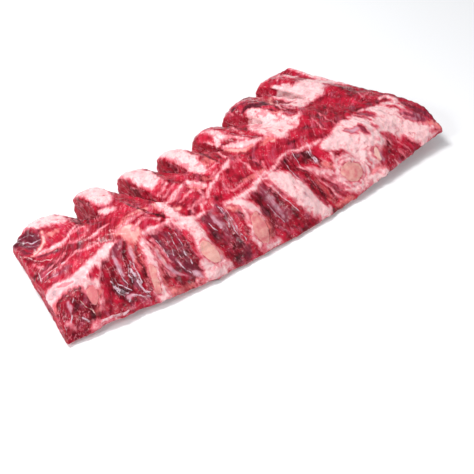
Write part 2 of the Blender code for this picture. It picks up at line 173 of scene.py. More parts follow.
# The broad areas, and what runs round the edges out of sight.
BASE: tuple[Stroke, ...] = (
    fat((-19.6, 4.4, .8), (-18.4, 3.6, 1.1), (-17.4, 2.6, .95), tone=.3, lift=.6),
    membrane((-21.3, 3.6, .8), (-20.6, 3.0, 1.0), (-20.9, 1.9, .9), tone=-.5),
    fat((-22.2, -5.0, .85), (-21.2, -5.0, .95), (-20.2, -5.3, 1.05), (-19.2, -5.6, 1.15),
        (-18.3, -5.5, 1.25), (-17.4, -5.0, .9), (-16.4, -4.6, .6), (-15.5, -4.4, .45),
        (-14.8, -4.25, .25), tone=-.1),
    peach((-21.0, -5.5, .5), (-20.2, -5.6, .6), tone=.9),
    # A dark recess: lowered, and darkened as painted shade.
    hollow((-16.6, 2.6, .3), (-16.0, 1.2, .6), (-15.3, 0, .8), (-15.0, -.7, .45)),
    fat((-13.0, 5.2, 1.6), (-12.9, 3.5, 1.35), (-12.9, 2.0, 1.1), (-13.0, 1.1, .6), tone=.1, lift=.6),
    hollow((-11.3, 4.5, .5), (-11.2, 2.5, .8), (-11.0, .5, .9), (-10.7, -1.2, .75), (-10.3, -2.6, .45),
           (-9.8, -3.6, .25), (-9.75, -4.1, .15), tone=0),
    peach((-13.6, -3.2, .5), (-13.4, -4.2, .8), (-12.9, -4.6, .5), tone=.1, lift=.5),
    meat((-21.6, -6.9, .9), (-21.0, -7.6, .9), (-20.4, -8.3, .6), tone=-.6),
    fat((-22.4, -6.0, .15), (-22.5, -7.2, .15), (-22.4, -8.4, .15), tone=.8),
    meat((-17.4, -7.7, .5), (-17.3, -8.4, .6), (-17.3, -9.0, .5), tone=.4),
    meat((-16.4, -6.0, .7), (-15.6, -7.2, 1.0), (-15.2, -8.4, 1.0), tone=-.65),
    peach((-13.8, -5.2, .25), (-13.9, -6.5, .3), (-13.9, -7.6, .25), (-13.8, -8.6, .2), tone=-.8),
    fat((-12.8, -5.2, .3), (-12.8, -6.0, .38), (-12.9, -6.9, .4), (-13.1, -7.6, .45), (-13.4, -8.2, .6),
        (-13.4, -8.9, .6), (-13.2, -9.4, .5), tone=.1),
    membrane((-11.6, -5.6, .5), (-10.8, -6.3, .9), (-10.2, -7.2, 1.1), (-9.7, -8.2, .9), (-9.2, -9.0, .45),
             tone=-.4),
    meat((-12.2, -8.9, .4), (-11.3, -9.2, .4), (-10.4, -9.5, .3), tone=.3),
    fat((-9.6, -5.2, .35), (-8.6, -5.6, .55), (-8.0, -6.3, .62), (-7.9, -7.2, .65), (-7.9, -8.0, .8),
        (-7.8, -8.8, .85), (-7.9, -9.4, .8), tone=.1),
    fat((-9.9, -9.8, .2), (-9.0, -9.6, .3), (-8.0, -9.5, .5), (-7.0, -9.4, .45), (-6.2, -9.7, .3), tone=.4),
    membrane((-6.3, -6.3, .7), (-5.8, -7.2, 1.0), (-5.2, -8.2, 1.1), (-4.6, -9.2, .9), tone=-.45),
    fat((-3.2, -5.9, .35), (-2.5, -6.4, .5), (-2.0, -7.0, .6), (-1.8, -7.6, .6), tone=.2),
    peach((-2.0, -7.9, .6), (-1.9, -8.6, .8), (-1.7, -9.3, .6), tone=-.1),
    fat((-2.6, -9.8, .12), (-1.6, -9.9, .25), (-.6, -9.9, .25), tone=.6),
    fat((-9.0, -1.9, .4), (-9.0, -2.8, .6), (-8.9, -3.8, .55), (-8.8, -4.6, .5), tone=.2),
    fat((-8.4, 5.0, 1.3), (-8.3, 3.6, 1.1), (-8.0, 2.2, .95), (-7.8, 1.2, .8), (-7.6, .7, .5), tone=0,
        lift=.6),
    hollow((-6.4, 4.0, .6), (-6.2, 2.5, .9), (-6.0, 1.2, .9), (-5.8, 0, .6), (-5.8, -.9, .3), tone=.1),
    fat((-3.6, 5.2, 1.3), (-3.5, 3.8, .9), (-3.4, 2.8, .9), (-3.2, 1.9, .8), (-3.3, 1.1, .7), tone=.1,
        lift=.6),
    hollow((-1.9, 4.2, .5), (-1.7, 3.0, .75), (-1.5, 1.9, .7), (-1.4, .8, .5), (-1.3, 0, .3),
           (-1.25, -.6, .15), tone=0),
    meat((.4, -5.8, .5), (.5, -6.8, .9), (1.0, -8.0, 1.3), (1.8, -9.2, 1.5), tone=-.5),
    fat((2.0, -5.5, .8), (2.9, -6.5, 1.1), (3.6, -7.5, 1.1), (4.2, -8.5, 1.0), (5.1, -9.3, .5), tone=0,
        lift=.7),
    meat((5.6, -6.8, .7), (6.4, -7.6, 1.2), (7.2, -8.4, 1.2), (8.6, -9.0, .6), tone=-.3),
    meat((4.9, -4.8, .9), (6.2, -5.2, 1.0), (7.0, -5.6, .7), tone=-.6),
    meat((.2, 4.6, .5), (.6, 5.2, .45), (.9, 4.3, .35), tone=.9),
    fat((1.2, 4.5, .35), (1.3, 3.4, .4), (1.5, 2.9, .4), tone=.2),
    hollow((3.3, 5.3, .35), (3.0, 4.2, .7), (2.7, 3.2, .75), (2.8, 2.3, .5), (3.3, 1.4, .35),
           (3.8, .5, .25), (4.0, 0, .15), tone=0),
    fat((6.3, 4.4, .55), (6.5, 3.2, .95), (6.0, 2.0, 1.6), (6.2, .8, 1.8), (6.5, -.4, 1.5),
        (6.5, -.9, .9), tone=.2, lift=.6),
    membrane((4.8, 6.3, .5), (5.6, 5.9, .7), (6.6, 5.6, .7), (7.5, 4.9, .7), (8.0, 3.6, .7), (8.1, 2.9, .4),
             tone=-.9),
    fat((14.0, 8.6, .5), (14.2, 7.6, .6), tone=.3),
    fat((12.3, 6.2, .5), (12.4, 5.2, .7), (13.2, 4.4, 1.3), (14.5, 4.4, 1.5), (16, 5, 1.3), (17.0, 4.6, .9),
        tone=.2, lift=.6),
    fat((14.0, 3.2, 1.0), (12.5, 3.0, 1.0), (11.3, 2.6, 1.0), (10.2, 2.2, .9), (9.3, 3.0, .7), tone=.3),
    fat((15.7, 10.0, .4), (16.6, 8.0, .6), (17.6, 5.8, .8), (18.6, 4.0, .7), (19.4, 2.6, .4), tone=.6),
    meat((11.0, 8.6, .8), (12.0, 8.2, .8), (12.6, 8.8, .8), (13.4, 9.2, .6), tone=.7),
    fat((9, -4.9, .8), (11, -5.0, 1.2), (13, -5.0, 1.9), (15, -4.8, 2.3), (17, -4.6, 2.3), (18.5, -4.2, 2.0),
        tone=.1, lift=.6),
    meat((8.0, -2.4, 1.5), (9.5, -2.1, 1.7), (11.3, -1.4, 2.1), (12.8, -.9, 2.2), (14.2, -.1, 2.0),
         (15.6, 0, 2.1), (17.0, -.4, 2.0), (18.6, -.5, 1.1), (20.4, -.8, .25), tone=-.15),
    fat((18.4, -5.6, .8), (19.4, -6.8, 1.1), (20.6, -7.4, .8), (21.6, -7.8, .5), tone=.3, lift=.7),
    fat((10.2, -9.0, .3), (11.5, -8.8, .4), (13.0, -8.8, .35), (14.2, -8.9, .25), tone=.9),
)

# In LEFT to TIP the spots are pixels of the photograph: across, down and half width.
# The thick left end, its ridge and the slope up to the first bone.
LEFT: tuple[Stroke, ...] = (
    # Cap of the first rib end.
    meat((48, 232, 6), (58, 228, 6), (68, 225, 5), (72, 224, 3), tone=.3),
    fat((31, 227, 3), (37, 222, 5), (46, 220, 6), (54, 219, 5.5), (61, 219, 4), (67, 218, 2), tone=.1,
        lift=.6),
    fat((58, 216, .8), (64, 217, .8), (70, 219, .8), tone=-.7),
    membrane((26, 234, 5), (33, 236, 6), (36, 243, 5), (28, 246, 7), (22, 243, 7), (26, 252, 4), tone=-.6),
    meat((30, 231, 1.5), (37, 231, 1.5), (40, 234, 1), tone=-.6),
    meat((20, 248, 2), (26, 251, 2), (32, 251, 2), tone=-.2),
    film_and_highlight((15, 242, .7), (25, 243, .8), (33, 243, .8), (40, 241, .6)),
    film_and_highlight((18, 238, .5), (26, 236, .6), (34, 236, .5)),
    film_and_highlight((22, 247, .5), (30, 247, .6), (37, 246, .5)),
    peach((41, 233, 1.5), (43, 240, 1.7), (41, 247, 1.8), (36, 253, 1.6), (33, 256, 1), tone=.8),
    fat((36, 255, 1.2), (45, 251, 2), (54, 247, 2.6), (62, 242, 2.6), (69, 236, 2), (73, 230, 1.6),
        (76, 225, 1), tone=.1, lift=.3),
    peach((46, 252, 1.2), (54, 249, 1.4), (62, 244, 1.2), tone=.3),
    meat((47, 241, 2.4), (52, 238, 3), (58, 235, 3), (64, 231, 3), (70, 228, 2.4), tone=.2),
    peach((46, 237, 1.2), (52, 234, 1.2), (58, 231, 1), tone=-.2),
    membrane((38, 257, 1.3), (45, 255, 1.8), (53, 253, 1.6), (58, 251, 1), tone=-.5),
    seam((21, 256, .8), (30, 259, .8), (42, 261, .8), (54, 258, .8), (61, 252, .7), tone=.6),
    meat((24, 259, 1), (34, 262, 1.3), (45, 263, 1), tone=-.9, lift=-.4),
    # Crimson field.
    meat((28, 262, 4), (40, 268, 6), (55, 262, 6), (70, 250, 7), (85, 243, 7), (97, 238, 4), tone=-.25),
    meat((82, 252, 4), (92, 248, 4), (103, 243, 3), tone=.25),
    fat((73, 233, 1), (77, 229, 1.2), (83, 227, 1.3), (87, 230, 1.2), (85, 235, 1.1), tone=.3, lift=.4),
    fat((70, 242, 1), (76, 242, 1.2), (81, 239, 1.2), tone=.5, lift=.3),
    meat((78, 234, 1.6), (82, 233, 1.4), tone=-.7, lift=-.3),
    fat((45, 272, .7), (52, 266, .8), (58, 260, .8), (64, 253, .7), tone=.6, lift=.2),
    fat((60, 268, .6), (68, 259, .7), (76, 252, .7), (84, 250, .5), tone=.7, lift=.2),
    fat((84, 250, .7), (90, 246, .9), (97, 243, .7), tone=.7, lift=.2),
    fat((33, 264, .6), (39, 267, .7), (44, 266, .6), tone=.8, lift=.1),
    membrane((50, 277, 1.5), (57, 274, 2.2), (65, 269, 2.4), (70, 265, 1.5), tone=.1),
    seam((42, 279, .9), (49, 273, 1), (57, 268, 1), (65, 262, .8), tone=-.2),
    film_and_highlight((44, 283, .8), (51, 278, .9), (57, 275, .7)),
    meat((46, 280, 1), (49, 277, .8), tone=-.6, lift=-.4),
    meat((42, 285, 2), (47, 288, 2.4), tone=.2),
    seam((36, 272, .6), (40, 277, .7), (41, 282, .6), tone=.2),
    # Ridge.
    fat((52, 297, 5), (60, 291, 7), (70, 283, 7), (80, 278, 9), (90, 272, 11), (97, 265, 9), (101, 256, 7),
        (106, 249, 5), (111, 243, 3), tone=-.15),
    fat((52, 298, 4), (61, 291, 5), (70, 286, 4), (78, 284, 3), tone=-1),
    peach((58, 289, 2), (64, 286, 2.4), (72, 283, 1.8), tone=.8),
    fat((77, 279, 1), (84, 281, 1.6), (92, 284, 1.2), tone=-1),
    peach((86, 286, 1.6), (94, 288, 1.6), (99, 285, 1.2), tone=.2),
    meat((92, 276, 3), (95, 272, 3.4), (96, 268, 1.8), tone=.15),
    # Front left lobe.
    meat((60, 310, 5.5), (68, 302, 6.5), (77, 300, 7.5), (85, 308, 7.5), (91, 318, 6.5), tone=-.65,
         lift=-.3),
    # Painted shade under the ridge's overhang, on flesh that is lowered there.
    meat((59, 302, 1.6), (65, 296, 2.6), (73, 291, 2.2), (81, 289, 1.4), tone=-.95, lift=-.8),
    meat((61, 322, 5), (72, 330, 9), (82, 328, 8), (90, 323, 5), tone=-.4),
    meat((64, 331, 4.5), (73, 340, 6.5), (85, 338, 6.5), (93, 331, 4), tone=-.45),
    meat((71, 335, 3), (77, 337, 3.5), (84, 333, 3), tone=-.05),
    # Painted highlight on the lobe: a pale lavender patch and two thin pale lines.
    membrane((68, 302, 1.8), (70, 306, 2.2), (71, 310, 1.3), tone=.9),
    film_and_highlight((71, 311, .9), (71, 318, .8), (70, 326, .7)),
    film_and_highlight((74, 298, .7), (73, 303, .7)),
    peach((54, 304, .9), (55, 312, .8), (57, 321, .7), (60, 330, .7), (65, 339, .6), tone=-.5),
    seam((63, 316, .6), (65, 324, .6), (66, 333, .6), tone=.1),
    fat((67, 325, 1.1), (71, 326, .9), (75, 328, .7), tone=.8, lift=.1),
    film_and_highlight((82, 318, .7), (87, 321, .9), (91, 326, .8)),
    meat((86, 325, 1.2), (90, 329, 1.2), tone=-.9),
    seam((80, 301, .5), (88, 308, .7), (95, 314, .7)),
    # Round the first sawn bone.
    peach((85, 290, 1.4), (91, 289, 1.6), (98, 290, 1.4), tone=-.1),
    peach((100, 292, 1.6), (101, 299, 1.6), (99, 306, 1.6), tone=-.3),
    fat((104, 289, 1.1), (104, 296, 1.3), (102, 303, 1.2), (101, 310, 1.1), (106, 315, 1.1), tone=.5,
        lift=.2),
    peach((97, 312, 1.6), (103, 314, 1.6), tone=-.2),
    meat((108, 296, 2.4), (109, 303, 3.6), (114, 309, 4.6), (120, 312, 5), tone=.3),
    fat((92, 328, 1.6), (97, 324, 2), (104, 321, 2.2), (111, 319, 1.4), (118, 317, .8), tone=.6, lift=.3),
    meat((98, 318, 2.5), (108, 312, 4), (119, 310, 4.5), (131, 305, 4.5), tone=-.2),
)

# The slope from the first sawn bone to the third, and the seams above it.
FRONT: tuple[Stroke, ...] = (
    # Round the fat oval and the seams between the second and third rib ends.
    fat((101, 212, 4), (106, 211, 6), (111, 209, 5), lift=.6),
    meat((86, 243, 4), (97, 236, 4), (107, 229, 4), (117, 220, 3.4), (126, 212, 2.6), (133, 207, 1.6),
         tone=.1),
    fat((92, 237, 1.4), (100, 230, 1.2), (108, 224, 1), tone=.3, lift=.4),
    peach((120, 226, 2), (128, 219, 2.4), (136, 213, 2), (145, 208, 1.6), tone=.2),
    fat((116, 231, 1.5), (124, 224, 1.6), (133, 218, 1.5), (143, 213, 1.4), (152, 211, 1), tone=.3,
        lift=.4),
    meat((118, 223, 1.3), (127, 218, 1.8), (136, 214, 1.8), (144, 212, 1.2), tone=.35),
    meat((141, 227, 1.4), (147, 223, 2.2), (154, 222, 2.2), (161, 224, 1.6), tone=.4),
    fat((132, 229, 1.6), (140, 221, 1.5), (149, 218, 1.4), (159, 219, 1.3), tone=.4, lift=.4),
    # Painted shadow along the lower edge of the notch between the second and third rib ends.
    meat((125, 203, 1), (133, 206, 1.5), (142, 209, 2), (151, 212, 2), (160, 215, 1.8), (166, 219, 1),
         tone=-.95, lift=-.9),
    peach((118, 233, 3), (126, 229, 5), (133, 233, 6), (138, 238, 4), tone=.3, lift=.2),
    peach((127, 226, 2.4), (136, 228, 2.4), tone=.7),
    fat((143, 233, 2.6), (150, 229, 3), (158, 227, 2.8), (166, 223, 2), (174, 221, 1.6), tone=-.1, lift=.7),
    fat((146, 235, 1), (152, 232, 1.4), (157, 231, 1), tone=-.7),
    meat((160, 229, 1), (166, 226, 1), tone=.1),
    meat((171, 225, 1.4), (174, 228, 1.4), tone=.3),
    # Between the first and second sawn bones.
    meat((108, 268, 6), (114, 280, 7), (124, 290, 8), (138, 296, 7), tone=-.55),
    meat((104, 272, 3), (106, 284, 4), (108, 294, 4), tone=-.2),
    membrane((122, 240, 1.5), (117, 247, 3), (114, 256, 3), tone=.2),
    membrane((113, 258, 1.6), (117, 264, 2.6), (120, 271, 2.4), (124, 277, 1.4), tone=.9),
    meat((124, 243, 1.6), (124, 252, 2.2), (126, 262, 2.6), (129, 272, 2.4), (134, 281, 2.2), (141, 289, 2),
         (148, 294, 1.4), tone=-.95, lift=-.8),
    membrane((121, 240, 1), (121, 248, 1.2), (121, 258, 1), tone=.3),
    membrane((130, 246, 1), (131, 252, 2.2), (133, 258, 2.4), (133, 263, 1.2), tone=.8, lift=.2),
    meat((136, 246, 1.6), (138, 256, 2), (142, 268, 2.4), (147, 280, 2.4), (152, 290, 1.8), tone=-.8,
         lift=-.4),
    meat((140, 248, 1.6), (144, 260, 2), (148, 272, 1.8), (151, 282, 1.4), tone=.2),
    # Thin pale lines and a lavender patch, partly membrane and partly painted highlights of the wet surface.
    film_and_highlight((129, 262, 1), (131, 271, 1.2), (136, 279, 1.4), (143, 287, 1.2), (151, 293, .8)),
    film_and_highlight((133, 264, .7), (137, 274, .8), (142, 282, .7)),
    film_and_highlight((127, 266, .6), (129, 275, .6), (133, 282, .6)),
    film_and_highlight((110, 282, 1.2), (117, 287, 1.5), (124, 292, 1.6), (131, 297, 1.8)),
    film_and_highlight((112, 285, .7), (120, 292, .8), (127, 299, .8), (131, 304, .7)),
    film_and_highlight((114, 280, .6), (123, 286, .7), (131, 291, .6)),
    membrane((128, 298, 1.8), (133, 296, 1.8), tone=.95),
    film_and_highlight((132, 296, 1.2), (140, 294, 1), (148, 296, .9), (154, 298, .6)),
    film_and_highlight((130, 299, 1), (130, 304, 1.3), (137, 304, 1.2), (146, 301, .8)),
    film_and_highlight((118, 268, .6), (122, 278, .7), (128, 285, .6)),
    meat((105, 290, 2), (108, 298, 2.6), (112, 304, 2), tone=.25),
    meat((108, 305, 3), (114, 308, 4.4), (119, 312, 3), tone=-.3),
    meat((124, 305, 3), (134, 308, 3.6), (145, 304, 3), (155, 300, 2.4)),
    seam((101, 322, 1), (110, 318, 1.2), (120, 314, 1), (130, 310, .8), tone=.3, lift=.2),
    # The second sawn bone.
    peach((139, 237, 1.6), (142, 247, 1.8), (146, 258, 1.6), (149, 270, 1.4), tone=-.7),
    fat((143, 240, 2.6), (146, 250, 3.6), (149, 261, 3.6), (152, 272, 3.4), (156, 284, 3.6), (160, 293, 4),
        (164, 299, 3), tone=.1, lift=.6),
    peach((158, 262, 1.4), (163, 272, 2.4), (167, 284, 2.6), (170, 294, 2.4), tone=-.55),
    fat((149, 244, 1), (155, 252, 1.1), (161, 261, 1), (166, 270, .8), tone=.5, lift=.2),
    fat((152, 240, .8), (160, 248, 1), (167, 256, 1), (172, 262, .8), tone=.5, lift=.2),
    peach((152, 247, 1.2), (159, 255, 1.3), (165, 264, 1.2), tone=.2),
    # Between the second and third sawn bones.
    membrane((158, 235, 3), (166, 244, 5), (175, 252, 9), (185, 260, 9), (193, 267, 7), tone=-.5),
    meat((170, 230, 2), (173, 240, 2.4), (178, 250, 2), (182, 259, 1.6), tone=-.75, lift=-.3),
    meat((177, 229, 2), (183, 240, 2.4), (190, 252, 2.4), (197, 263, 2.2), (203, 269, 1.4), tone=-.8,
         lift=-.3),
    meat((160, 234, 2), (166, 241, 2.2), (171, 249, 1.8), tone=-.6),
    membrane((171, 253, 1.2), (176, 259, 1.8), (180, 265, 1.6), tone=.4),
    film_and_highlight((165, 236, .5), (170, 246, .6), (175, 256, .6)),
    film_and_highlight((168, 232, .5), (173, 241, .5), (178, 250, .6), (182, 258, .5)),
    film_and_highlight((174, 231, .6), (180, 242, .6), (186, 253, .7), (192, 263, .6)),
    film_and_highlight((181, 229, .7), (187, 240, .7), (194, 252, .7), (200, 262, .6)),
    film_and_highlight((156, 240, .6), (163, 249, .7), (169, 257, .7)),
    film_and_highlight((177, 262, .6), (184, 268, .7), (192, 273, .7)),
    meat((184, 229, 1.6), (190, 240, 2.2), (196, 251, 2), (202, 261, 1.6), tone=.45),
    membrane((155, 250, 1.4), (161, 258, 1.8), (167, 266, 2), (174, 272, 2), (182, 276, 1.8), (190, 279, 1),
             tone=1, lift=.2),
    fat((153, 252, .8), (160, 262, .9), (167, 271, .9), (175, 277, .8), tone=.3, lift=.2),
    membrane((194, 271, 1.4), (199, 274, 2.2), (204, 276, 1.6), tone=.7),
    meat((161, 268, 2), (167, 277, 3), (174, 284, 5), (183, 285, 6), (190, 283, 4), tone=-.1),
    meat((163, 266, 1.2), (169, 276, 1.6), (175, 285, 1.4), tone=-.7),
    meat((172, 280, 1.4), (178, 286, 1.6), (184, 290, 1.2), tone=.5),
    peach((172, 293, 1.6), (182, 291, 1.6), (193, 286, 1.8), tone=-.3),
    # The third sawn bone.
    fat((184, 217, 2.4), (190, 221, 4), (196, 228, 5), (200, 237, 5.4), (206, 246, 7), (212, 255, 8),
        (218, 263, 8), (224, 268, 6), lift=.8),
    fat((193, 224, 1.4), (198, 232, 1.6), (203, 240, 1.4), tone=-.3),
    peach((201, 240, 1.4), (209, 244, 2), (217, 250, 1.8), (222, 257, 1.4), tone=.5),
    fat((204, 266, 3), (212, 269, 4), (222, 270, 3.4), (232, 266, 2.4), tone=.1, lift=.6),
    peach((200, 282, 2), (208, 280, 2.2), (216, 277, 2), tone=-.2),
    meat((186, 289, 1.4), (195, 286, 1.6), (204, 283, 1), tone=-.2),
)

# The middle rib ends, the ridge and the slope at the fourth bone.
MIDDLE: tuple[Stroke, ...] = (
    # Cap of the third rib end.
    fat((134, 176, 5), (141, 180, 7), (148, 183, 6), (153, 187, 4), tone=.1, lift=.6),
    meat((161, 181, 1.2), (157, 188, 2.2), (151, 195, 2.4), (146, 200, 1.4), tone=.4),
    meat((170, 182, 1.3), (166, 188, 1.7), (162, 194, 1.4), tone=.4),
    meat((178, 184, 1.5), (173, 189, 2.1), (168, 196, 2), (165, 200, 1), tone=.4),
    fat((166, 183, 1), (162, 190, 1.1), (157, 196, 1.1), tone=.3, lift=.4),
    fat((174, 183, .8), (169, 190, 1), (164, 196, .9), tone=.3, lift=.4),
    fat((182, 184, 1.8), (179, 190, 2.4), (173, 197, 3), (166, 203, 3), tone=.2, lift=.4),
    peach((178, 191, 1.4), (172, 198, 2), (164, 204, 2.4), tone=.7, lift=.2),
    meat((184, 196, 3), (190, 194, 4), (196, 194, 3.4), (195, 200, 4), (188, 203, 4.4), (183, 204, 2),
         tone=.15),
    meat((188, 195, 1.6), (194, 196, 2), tone=.5),
    fat((193, 189, 1), (186, 195, 1), (180, 201, 1.1), tone=.3, lift=.4),
    fat((204, 195, 1), (198, 202, 1.2), (190, 208, 1), lift=.5),
    fat((199, 190, 1), (204, 196, 1), (204, 203, .9), tone=.2, lift=.3),
    peach((153, 204, 2.4), (161, 207, 4), (170, 211, 4), (178, 208, 3), tone=.6, lift=.2),
    fat((167, 220, 2.2), (176, 219, 3), (186, 219, 3.4), (196, 217, 3), (204, 212, 2), tone=-.1, lift=.6),
    meat((184, 209, 1.2), (187, 214, 1), tone=.2),
    meat((193, 210, 1.8), (202, 207, 2.2), (211, 205, 1.8), tone=.2),
    fat((191, 206, .7), (194, 212, .7), (197, 217, .6), tone=.4, lift=.2),
    fat((200, 203, .7), (204, 209, .7), (206, 214, .6), tone=.4, lift=.2),
    # Cap of the fourth rib end.
    fat((172, 154, 3.4), (180, 158, 5.6), (189, 163, 7.4), (197, 168, 7), (204, 171, 4), tone=.75, lift=.6),
    fat((182, 156, 3), (192, 160, 4), tone=.6),
    meat((179, 170, 1.4), (182, 170, 1.4), tone=.3),
    meat((183, 178, 1.4), (187, 176, 1.8), (192, 173, 1.2), tone=.35),
    peach((201, 161, 1.6), (204, 165, 2.2), (203, 170, 1.6), tone=-.3),
    peach((207, 159, 2), (212, 161, 2), tone=-.1),
    meat((215, 166, 1.3), (211, 171, 2.2), (206, 175, 1.4), tone=.4),
    fat((217, 163, .9), (210, 168, .9), (203, 173, .8), tone=.3, lift=.3),
    fat((216, 170, .8), (211, 176, .8), tone=.3, lift=.3),
    peach((203, 178, 1.3), (209, 179, 1.8), (215, 177, 1.3), tone=-.3),
    fat((186, 181, 3), (195, 183, 5), (204, 185, 4), tone=.4, lift=.4),
    peach((190, 186, 1.6), (197, 188, 2), (203, 188, 1.4), tone=.2),
    fat((229, 160, 2.4), (226, 166, 3.4), (220, 173, 3), (215, 181, 3), (210, 189, 3), (207, 196, 2),
        tone=.2, lift=.6),
    # The notch between this cap and the next, lowered and darkened as painted shade.
    hollow((194, 148, 1.4), (202, 153, 2), (210, 157, 2), (217, 161, 1.6), (222, 164, .8), tone=-.95,
           lift=-1),
    # Cap of the fifth rib end.
    fat((203, 132, 3), (212, 132, 3), (221, 135, 3), (228, 138, 2), tone=.6, lift=.5),
    meat((202, 135, 2.6), (205, 140, 4.6), (209, 141, 3.6), tone=.6),
    fat((215, 137, 3), (218, 143, 4), (213, 148, 3), (204, 149, 1.6), tone=.5, lift=.4),
    meat((222, 142, 1.2), (229, 141, 1.7), (236, 139, 1.4), tone=.2),
    fat((224, 147, 3.2), (232, 146, 4.4), (242, 144, 5), (252, 142, 4.2), (260, 139, 3), lift=.6),
    fat((229, 135, 1.6), (236, 137, 1.6), (243, 139, 1), tone=.7),
    peach((226, 149.5, 2.6), (234, 150, 4), (242, 149, 4.4), (250, 146, 3.4), tone=.2),
    meat((214, 151, 1.2), (219, 154, 1.2), tone=.3),
    fat((216, 150, 1), (221, 154, 1.3), (228, 157, 1), tone=.3),
    # Band of lean between the caps and the ridge.
    meat((214, 198, 5), (220, 188, 7), (229, 178, 10), (239, 168, 9), (250, 160, 9), (262, 153, 8),
         tone=.05),
    meat((222, 157, 1.3), (232, 158, 1.8), (243, 156, 1.8), (252, 150, 1.6), tone=.3),
    meat((220, 184, 1.2), (226, 189, 1.6), (232, 193, 1.4), tone=-.5),
    meat((226, 176, 1.2), (232, 181, 1.3), (238, 183, 1), tone=-.5),
    fat((222, 182, .7), (227, 188, 1), (233, 190, 1.1), (240, 186, 1), (248, 181, .8), tone=.3, lift=.3),
    meat((252, 158, 2.4), (258, 164, 2.6), (262, 160, 2), tone=-.4),
    fat((240, 160, .7), (247, 165, .9), (253, 171, 1.1), (259, 176, 1.1), tone=.6, lift=.2),
    fat((254, 160, .6), (258, 162, .7), tone=.7),
    fat((262, 162, .6), (265, 167, .6), tone=.7),
    peach((243, 182, 1.2), (250, 178, 1.8), (258, 174, 1.8), (264, 170, 1.2), tone=-.3),
    meat((242, 186, 1.4), (247, 184, 1.6), tone=.4),
    fat((224, 205, 2), (231, 201, 2.6), (240, 197, 3.2), (248, 193, 4), (255, 186, 4), (260, 179, 3),
        (265, 172, 2.2), lift=.7),
    fat((245, 196, 1.2), (252, 190, 1.4), (257, 183, 1.2), tone=-.5),
    peach((226, 207, 1.6), (234, 208, 2.2), (242, 206, 2), tone=.2),
    # Slab between the third and fourth sawn bones.
    meat((214, 230, 4), (222, 238, 7), (231, 247, 8), (240, 255, 6), tone=-.45),
    membrane((211, 213, 2), (216, 220, 3.4), (224, 228, 3.4), (232, 235, 3.4), (238, 241, 2.4), tone=.2),
    membrane((212, 216, 1.6), (216, 222, 2.2), (221, 227, 1.6), tone=.95),
    membrane((226, 221, 1.4), (230, 228, 1.6), (235, 234, 1.2), tone=.8),
    meat((217, 206, 1.3), (222, 213, 1.8), (228, 223, 2), (235, 234, 2), (243, 246, 1.8), tone=-.85,
         lift=-.4),
    meat((222, 206, 1.2), (228, 212, 2), (235, 221, 3), (241, 231, 3.4), (247, 242, 3), tone=.05),
    meat((230, 210, 1.6), (237, 218, 2), (243, 227, 2.2), (247, 236, 1.6), tone=.35),
    film_and_highlight((218, 207, .6), (224, 216, .7), (230, 226, .7)),
    film_and_highlight((225, 210, .7), (232, 220, .8), (240, 230, .8), (247, 240, .7)),
    film_and_highlight((221, 208, .5), (227, 217, .6), (234, 227, .6), (241, 237, .5)),
    film_and_highlight((209, 224, 1), (213, 228, 1), (218, 231, .6)),
    meat((224, 240, 1.4), (232, 248, 1.6), (240, 255, 1.4), tone=-.7),
    # The fourth sawn bone.
    fat((239, 207, 1.6), (246, 213, 2), (250, 223, 2), (254, 234, 2.2), (259, 244, 2.6), tone=.2, lift=.6),
    fat((242, 207, 2.4), (250, 208, 2.6), (258, 212, 2.4), (264, 219, 1.6), lift=.7),
)

